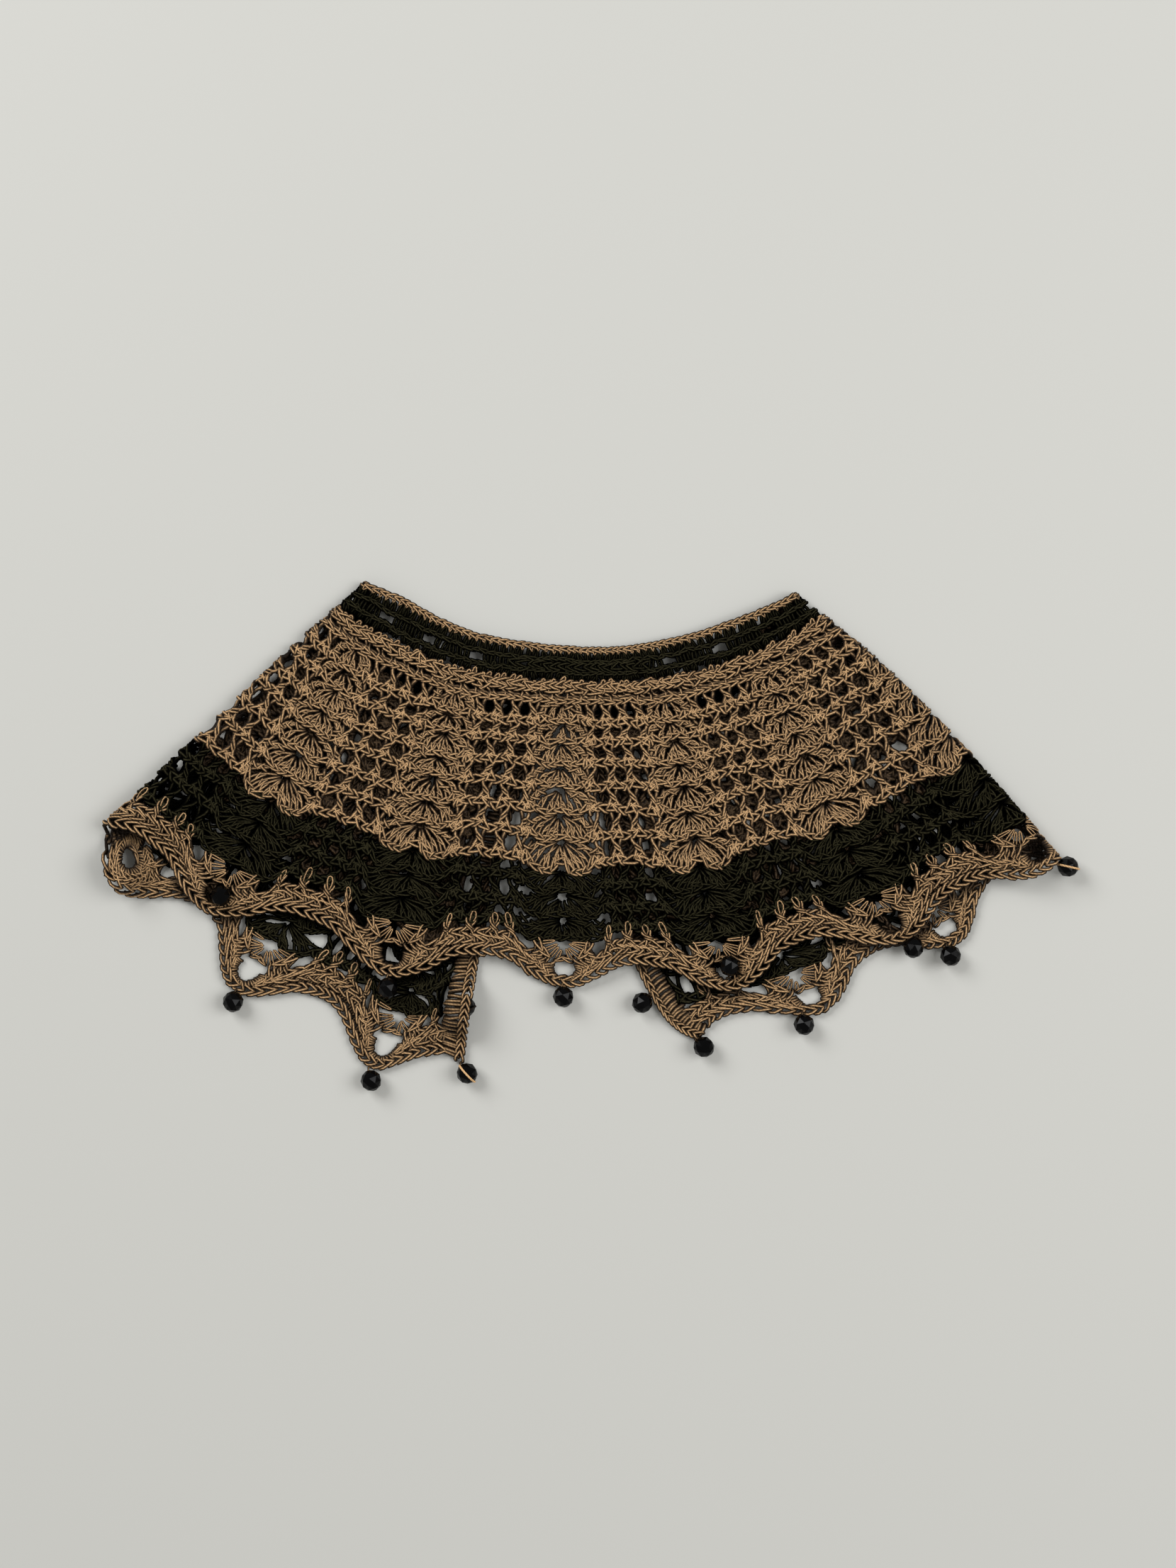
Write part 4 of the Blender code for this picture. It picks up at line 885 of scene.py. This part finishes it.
# rim: a braid along the neck edge, with a tooth hanging over the band at every link
longBraid("rim", neckRows["rimPitch"], neckRows["rimDepth"], stray=0.4, narrow=0.8, thick=0.92, lift=0.15)
u = evenly(neckRows["rimPitch"])
teeth = (wobbled(places(u, depth), stray=0.7) for depth in neckRows["teeth"])
lay("rim", ("toothLeft", "toothRight"), *teeth, narrow=0.62, thick=0.62, lift=0.5)
print("neck laid")

edging = {
    # a loop on its knot: place on the edge, of a repeat, and how far it leans along the edge, mm
    "spikes": ((0.285, 2.2), (0.42, 1.2), (0.565, -0.6), (0.69, -1.8)),
    "knotHeight": 4.2,
    "loopHeight": 3.4,
    "stemStarts": 0.8,  # how far above its knot the stem under a loop starts, mm
    "upperBraid": (0.052, 0.912),  # pitch and depth
    "middleBraid": (0.052, 0.938),
    "lowerBraid": (0.052, 0.981),
    "clearOfEye": 0.19,  # repeats from a column within which the first two braids aren't laid
    "clearOfEnds": 0.06,  # repeats from the ends of the cloth within which no spike stands
    # pitch, depth of the feet and of the heads, how far they lean, and repeats from a column without them
    "roundRow": (0.038, 0.914, 0.964, 0.016, 0.15),
    "eye": (0.938, 4.7, 100, 21),  # depth, radius in mm, degrees to each side with stitches, and their number
    "foldedRepeat": -3,  # the column whose eye lies in the left fold
    "foldedEye": (0.916, 4.5, 176, 31),
    "stitchesRound": (3.2, 0.93, 0.976),  # length in mm, share of the angle at their heads, and deepest place
    "foldedRings": ((3.4, 20), (5.1, 24)),  # braids round it: how far outside it, mm, and number of points
    "ringEnds": 170,  # degrees
    "deepest": 0.99,
    "fanCentre": 0.853,
    # the strands in pairs over a fan's foot: angle from straight down, where they start and end, mm
    "pairs": ((20, 3.3, 7.5), (42, 3.0, 8.1), (64, 3.0, 8.8), (86, 3.4, 9.9)),
    "beyondPairs": (0.4, 4),  # how far past their ends the braid along them lies, mm and degrees
    "overEye": (0.6, -1.0, 0.6),  # ends and middle of the links over an eye, mm beyond the innermost pair
    # the stitches of the wing: angle and distance of the foot, repeat and depth of the head, bow in mm
    "wing": ((37, 8.6, 0.114, 0.962, 1.1), (52, 8.8, 0.140, 0.951, 0.4), (66, 9.2, 0.170, 0.939, -0.1),
             (80, 9.6, 0.205, 0.927, -0.5)),
}
fanCentre = edging["fanCentre"]
angle, inner, outer = np.array(edging["pairs"]).T
wingAngle, wingStart, wingPlace, wingDepth, wingBow = np.array(edging["wing"]).T
stitchLength, headTurn, deepestHead = edging["stitchesRound"]
further, beyond = edging["beyondPairs"]
for k in range(-5, 6):
    folded = k == edging["foldedRepeat"]
    for side in (-1, 1):
        if not folded:
            turn = side * np.radians(angle)
            pair = [wobbled(around(k, fanCentre, far, turn), stray=0.8) for far in (inner, outer)]
            lay("edging", ("arch",), *pair, side, narrow=0.6, thick=0.6, lift=0.8)
        # the braid along them, and below it the stitches that fill the wing beside the eye
        arm = around(k, fanCentre, outer[1:] + further, side * np.radians(angle[1:] + beyond))
        braid("edging_braids", arm, mirror=side, lift=0.3)
        start = wobbled(around(k, fanCentre, wingStart, side * np.radians(wingAngle)))
        wing = wobbled(places(k + side * wingPlace, wingDepth))
        lay("edging", legs, start, wing, side, narrow=0.8, bow=side * wingBow)
        lay("edging_braids", wraps, start, wing, side, narrow=0.8, bow=side * wingBow)
        braid("edging_braids", wing, mirror=side)
    # two links over the top of the eye, and short stitches round it
    over = around(k, fanCentre, outer[0] + np.array(edging["overEye"]), np.radians([-angle[0], 0, angle[0]]))
    braid("edging_braids", over, narrow=0.6, thick=0.8)
    eyeDepth, eyeRadius, lastTurn, stitches = edging["foldedEye" if folded else "eye"]
    # the ring round the folded eye is broad: two more braids go round it
    for wider, count in edging["foldedRings"] if folded else ():
        turn = np.radians(np.linspace(-edging["ringEnds"], edging["ringEnds"], count))
        ring = around(k, eyeDepth, eyeRadius + wider, turn)
        ring[:, 1] = np.minimum(ring[:, 1], edging["deepest"])
        braid("edging_braids", ring, narrow=1.3)
    turn = np.radians(np.linspace(-lastTurn, lastTurn, stitches))
    feet = around(k, eyeDepth, eyeRadius, turn)
    heads = around(k, eyeDepth, eyeRadius + stitchLength, turn * headTurn)
    heads[:, 1] = np.minimum(heads[:, 1], deepestHead)
    lay("edging", ("short",), wobbled(feet, stray=0.4), wobbled(heads, stray=0.4))
pitch, depth = edging["upperBraid"]
for place, lean in edging["spikes"]:
    u = repeats[:-1] + place
    feet = places(u[(u > firstU + edging["clearOfEnds"]) & (u < lastU - edging["clearOfEnds"])], depth)
    knots = wobbled(shifted(feet, lean / 2, -edging["knotHeight"]), stray=1.5)
    tops = wobbled(shifted(knots, lean / 2, -edging["loopHeight"]), stray=1.5)
    lay("edging", ("loop",), tops, knots, lift=0.85, thick=0.72, narrow=0.9)
    stems = shifted(knots, 0.0, -edging["stemStarts"])
    lay("edging_braids", legs + wraps, stems, feet, narrow=1.1, thick=0.88, lift=0.75)
for k in repeats[:-1]:
    first, last = max(k + edging["clearOfEye"], firstU), min(k + 1 - edging["clearOfEye"], lastU)
    longBraid("edging_braids", *edging["upperBraid"], first=first, last=last, narrow=1.4)
    longBraid("edging_braids", *edging["middleBraid"], stray=1.3, first=first, last=last, narrow=1.6,
              lift=0.15, direction=-1)
pitch, top, bottom, lean, clear = edging["roundRow"]
u = evenly(pitch)
u = u[np.abs(u - np.round(u)) > clear]
feet, heads = wobbled(places(u - lean, top), stray=2.0), wobbled(places(u + lean, bottom), stray=1.6)
lay("edging", uprights, feet, heads, narrow=0.8, thick=0.95)
longBraid("edging_braids", *edging["lowerBraid"], stray=0.6, narrow=1.75, thick=1.05, lift=0.15)
print("edging laid")

# the border along the row ends: number of short stitches and of places on its braid, where it starts and ends
# down the cloth, and where the stitches end and the braid lies on its width
border = {"stitches": 84, "links": 50, "from": 0.006, "to": (0.985, 0.99), "across": (0.75, 0.78)}
for side in ("left", "right"):
    start, edge = sections[side + "End"][0], sections[side + "Edge"][0]
    ladder, outside = (start + (edge - start) * share for share in border["across"])
    depth = np.linspace(border["from"], border["to"][0], border["stitches"])
    lay("border", ("short",), *(wobbled(places(u, depth)) for u in (start, ladder)), thick=1.28)
    depth = np.linspace(border["from"], border["to"][1], border["links"])
    braid("border", places(outside, depth), narrow=1.45, lift=0.3)

for skeinName, skein in skeins.items():
    dark = skeinName.split("_")[1] in ("band", "hem")
    skein.make(*((darkCotton, "cotton_dark") if dark else (tanCotton, "cotton_tan")))

# the node of the frame that a piece takes the place of
replaced = {
    "front_yoke": "yoke", "front_hem": "hem_band", "front_edging": "scallop_edging",
    "left_yoke": "left_under_layer", "right_yoke": "right_under_layer",
    "left_hem": "left_flap_hem_band", "right_hem": "right_flap_hem_band",
    "left_edging": "left_flap_edging", "right_edging": "right_flap_edging",
    "front_rim": "neck_rim", "front_band": "neck_band",
    "left_border": "left_end_border", "right_border": "right_end_border",
}
for pieceName, nodeName in replaced.items():
    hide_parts(nodeName)
# the cloth laid out flat: width and length of each sheet in m, its area in m2, and the pieces on top of it
sheets = {
    "front_yoke": (0.0735, 0.275, 0.01958),
    "front_hem": (0.0284, 0.365, 0.010215),
    "front_edging": (0.0194, 0.375, 0.006779),
    "left_yoke": (0.0862, 0.1135, 0.009005),
    "right_yoke": (0.0862, 0.1240, 0.009814),
    "left_hem": (0.0284, 0.145, 0.003895),
    "right_hem": (0.0284, 0.150, 0.004101),
    "left_edging": (0.0194, 0.155, 0.002783),
    "right_edging": (0.0194, 0.120, 0.002088),
}

bead = {
    "radius": 4.0,  # mm
    "sides": 8,
    "rings": (11.0, 40.0, 73.0, 107.0, 140.0, 169.0),  # degrees from the axis of the hole
    "lean": 24.0,  # degrees by which the hole points past the nearest cloth
    "thread": 0.42,  # radius of the thread it hangs on, mm
    "threadSides": 6,
    "threadPath": (1.75, 1.25, 0.8, 0.3, -0.3, -0.7, -0.9),  # along the hole, in radii
    "threadStarts": 0.3,  # above the middle of the cloth, mm
    "threadDrawn": 0.35,  # share by which its second point is drawn towards the cloth
    "threadLit": 0.7,
    "overBead": ("bead_left_corner", "bead_right_3"),  # beads that have the thread laid over them
    "overPath": (15, 178, 11),  # degrees round the bead at which that thread starts and ends, and its points
    "overLift": 0.25,  # mm
    # where the cloth nearest to a bead is looked for: depth from and to, points along the tips and the ends
    "searched": (0.6, 0.99, 400, 80),
    "colour": (0.0012, 0.0012, 0.0014, 1), "specular": 0.12,
    "roughness": (0.06, 0.18), "roughnessScale": 300.0,
}
blackGlass, glassShader = newMaterial("black glass", specular=bead["specular"])
glassShader.inputs["Base Color"].default_value = bead["colour"]
glassRoughness = blackGlass.node_tree.nodes.new("ShaderNodeMapRange")
for socketName, value in zip(("To Min", "To Max"), bead["roughness"]):
    glassRoughness.inputs[socketName].default_value = value
glassNoise = objectNoise(blackGlass, bead["roughnessScale"], 2.0)
blackGlass.node_tree.links.new(glassNoise, glassRoughness.inputs["Value"])
blackGlass.node_tree.links.new(glassRoughness.outputs[0], glassShader.inputs["Roughness"])


# faceted bead: rings about the axis of its hole, every second one turned by half a step, joined in a closed
# tube that runs back through the hole
def facetedBeads(centres, axes):
    sides, polar = bead["sides"], np.radians(bead["rings"])
    rings = len(polar)
    turn = (np.arange(sides)[None] + 0.5 * (np.arange(rings) % 2)[:, None]) / sides * 2 * math.pi
    side = unit(np.cross(axes, [0.0, 0.0, 1.0]))
    up = np.cross(side, axes)
    points = (np.cos(polar)[None, :, None, None] * axes[:, None, None]
              + np.sin(polar)[None, :, None, None] * (np.cos(turn)[None, :, :, None] * side[:, None, None]
                                                      + np.sin(turn)[None, :, :, None] * up[:, None, None]))
    points = centres[:, None, None] + points * bead["radius"]
    k, n = np.meshgrid(np.arange(rings - 1), np.arange(sides), indexing="ij")
    a, b = k * sides + n, k * sides + (n + 1) % sides
    c, d = a + sides, b + sides
    odd = (k % 2)[..., None] == 1
    first = np.where(odd, np.stack([a, c, d], -1), np.stack([a, c, b], -1))
    second = np.where(odd, np.stack([a, d, b], -1), np.stack([b, c, d], -1))
    n, last = np.arange(sides), (rings - 1) * sides
    after = (n + 1) % sides
    inside = np.stack([last + n, n, after], -1), np.stack([last + n, after, last + after], -1)
    tris = np.concatenate([first.reshape(-1, 3), second.reshape(-1, 3), *inside])[:, ::-1]
    offsets = np.arange(len(centres))[:, None, None] * rings * sides
    return points.reshape(-1, 3), (tris + offsets).reshape(-1, 3)


centres = np.array(list(beadSpots.values())) - np.array([*collar["centre"], -bead["radius"]])
# the nearest scallop tip or corner of the cloth, towards which the hole of each bead points
first, last, tipPoints, endPoints = bead["searched"]
edgePlaces = [places(np.linspace(firstU, lastU, tipPoints), last)]
for name in ("leftEdge", "rightEdge"):
    edgePlaces.append(places(sections[name][0], np.linspace(first, last, endPoints)))
edgePoints = readGrid(gridPoints, np.concatenate(edgePlaces))
away = np.linalg.norm(centres[:, None, :2] - edgePoints[None, :, :2], axis=2)
nearest = edgePoints[np.argmin(away, axis=1)]
axes = unit((nearest - centres) * np.array([1.0, 1.0, 0.0]))
lean = math.radians(bead["lean"])
axes = np.column_stack([axes[:, 0] * math.cos(lean) - axes[:, 1] * math.sin(lean),
                        axes[:, 0] * math.sin(lean) + axes[:, 1] * math.cos(lean), np.zeros(len(axes))])
points, tris = facetedBeads(centres, axes)
beadMesh = bpy.data.meshes.new("beads")
beadMesh.from_pydata((points * mm).tolist(), [], tris.tolist())
beads = addPiece(beadMesh, blackGlass)
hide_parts(*beadSpots)

# thread: from the cloth into the hole, and on two beads back over the outside
threads = Skein("bead_threads")
upright = np.array([0.0, 0.0, 1.0])


# a thread along a path, as round as its sides allow, evenly lit
def sweepThread(path, ups):
    evenlyLit, clear = np.full(path.shape[:2], bead["threadLit"]), np.ones(path.shape[:2])
    threads.sweep(path * mm, ups, evenlyLit, clear, bead["thread"] * mm, bead["threadSides"])


reach = np.array(bead["threadPath"]) * bead["radius"]
path = centres[:, None] + axes[:, None] * reach[None, :, None]
path[:, 0] = nearest + upright * bead["threadStarts"]
path[:, 1] = path[:, 0] * bead["threadDrawn"] + path[:, 1] * (1 - bead["threadDrawn"])
sweepThread(path, np.tile(upright, (*path.shape[:2], 1)))
turn = np.radians(np.linspace(*bead["overPath"]))[None, :, None]
over = [list(beadSpots).index(name) for name in bead["overBead"]]
outwards = np.cos(turn) * axes[over, None] + np.sin(turn) * upright
path = centres[over, None] + outwards * (bead["radius"] + bead["overLift"])
sweepThread(path, path - centres[over, None])
threads.make(tanCotton, "cotton_tan")
print(len(centres), "beads hung on")

studio = {
    "floorColour": (0.645, 0.645, 0.612, 1),
    "floorRoughness": 0.6,
    "floorHalf": 3.0,  # m
    "camera": (-0.0012, 0.0198, 1.0),  # m; it looks straight down
    "frameHeight": 0.5906,  # m of floor from the top to the bottom of the frame
    "sensor": 36.0,  # mm
    # place and width in m, and power in W; both lights are turned to the collar
    "lights": {"window": ((-1.45, 1.3, 1.55), 1.3, 36.3), "room": ((1.55, 0.2, 1.65), 1.5, 27.1)},
    "sky": 0.30,
    "skyColour": (1.0, 0.985, 0.945, 1),
}
half = studio["floorHalf"]
floorMesh = bpy.data.meshes.new("floor")
corners = [(-half, -half, 0), (half, -half, 0), (half, half, 0), (-half, half, 0)]
floorMesh.from_pydata(corners, [], [(0, 1, 2, 3)])
paleFloor, floorShader = newMaterial("pale floor", studio["floorRoughness"])
floorShader.inputs["Base Color"].default_value = studio["floorColour"]
floorMesh.materials.append(paleFloor)
floor = bpy.data.objects.new("floor", floorMesh)

for name, (width, length, area) in sheets.items():
    side, row = name.split("_")

scene = bpy.context.scene
scene.world = bpy.data.worlds.new("studio")
scene.world.use_nodes = True
background = scene.world.node_tree.nodes["Background"]
background.inputs["Color"].default_value = studio["skyColour"]
background.inputs["Strength"].default_value = studio["sky"]
scene.view_settings.view_transform = "Standard"

lights = []
for lightName, (place, size, power) in studio["lights"].items():
    data = bpy.data.lights.new(lightName, "AREA")
    data.shape = "SQUARE"
    data.size = size
    data.energy = power
    light = bpy.data.objects.new(lightName, data)
    light.location = place
    direction = unit(np.array(place))
    light.rotation_euler = (math.acos(direction[2]), 0, math.atan2(direction[1], direction[0]) + math.pi / 2)
    lights.append(light)

cameraData = bpy.data.cameras.new("camera")
cameraData.sensor_fit = "VERTICAL"
cameraData.sensor_height = studio["sensor"]
cameraData.lens = studio["sensor"] * studio["camera"][2] / studio["frameHeight"]
camera = bpy.data.objects.new("camera", cameraData)
camera.location = studio["camera"]
for thing in (floor, camera, *lights):
    scene.collection.objects.link(thing)
scene.camera = camera
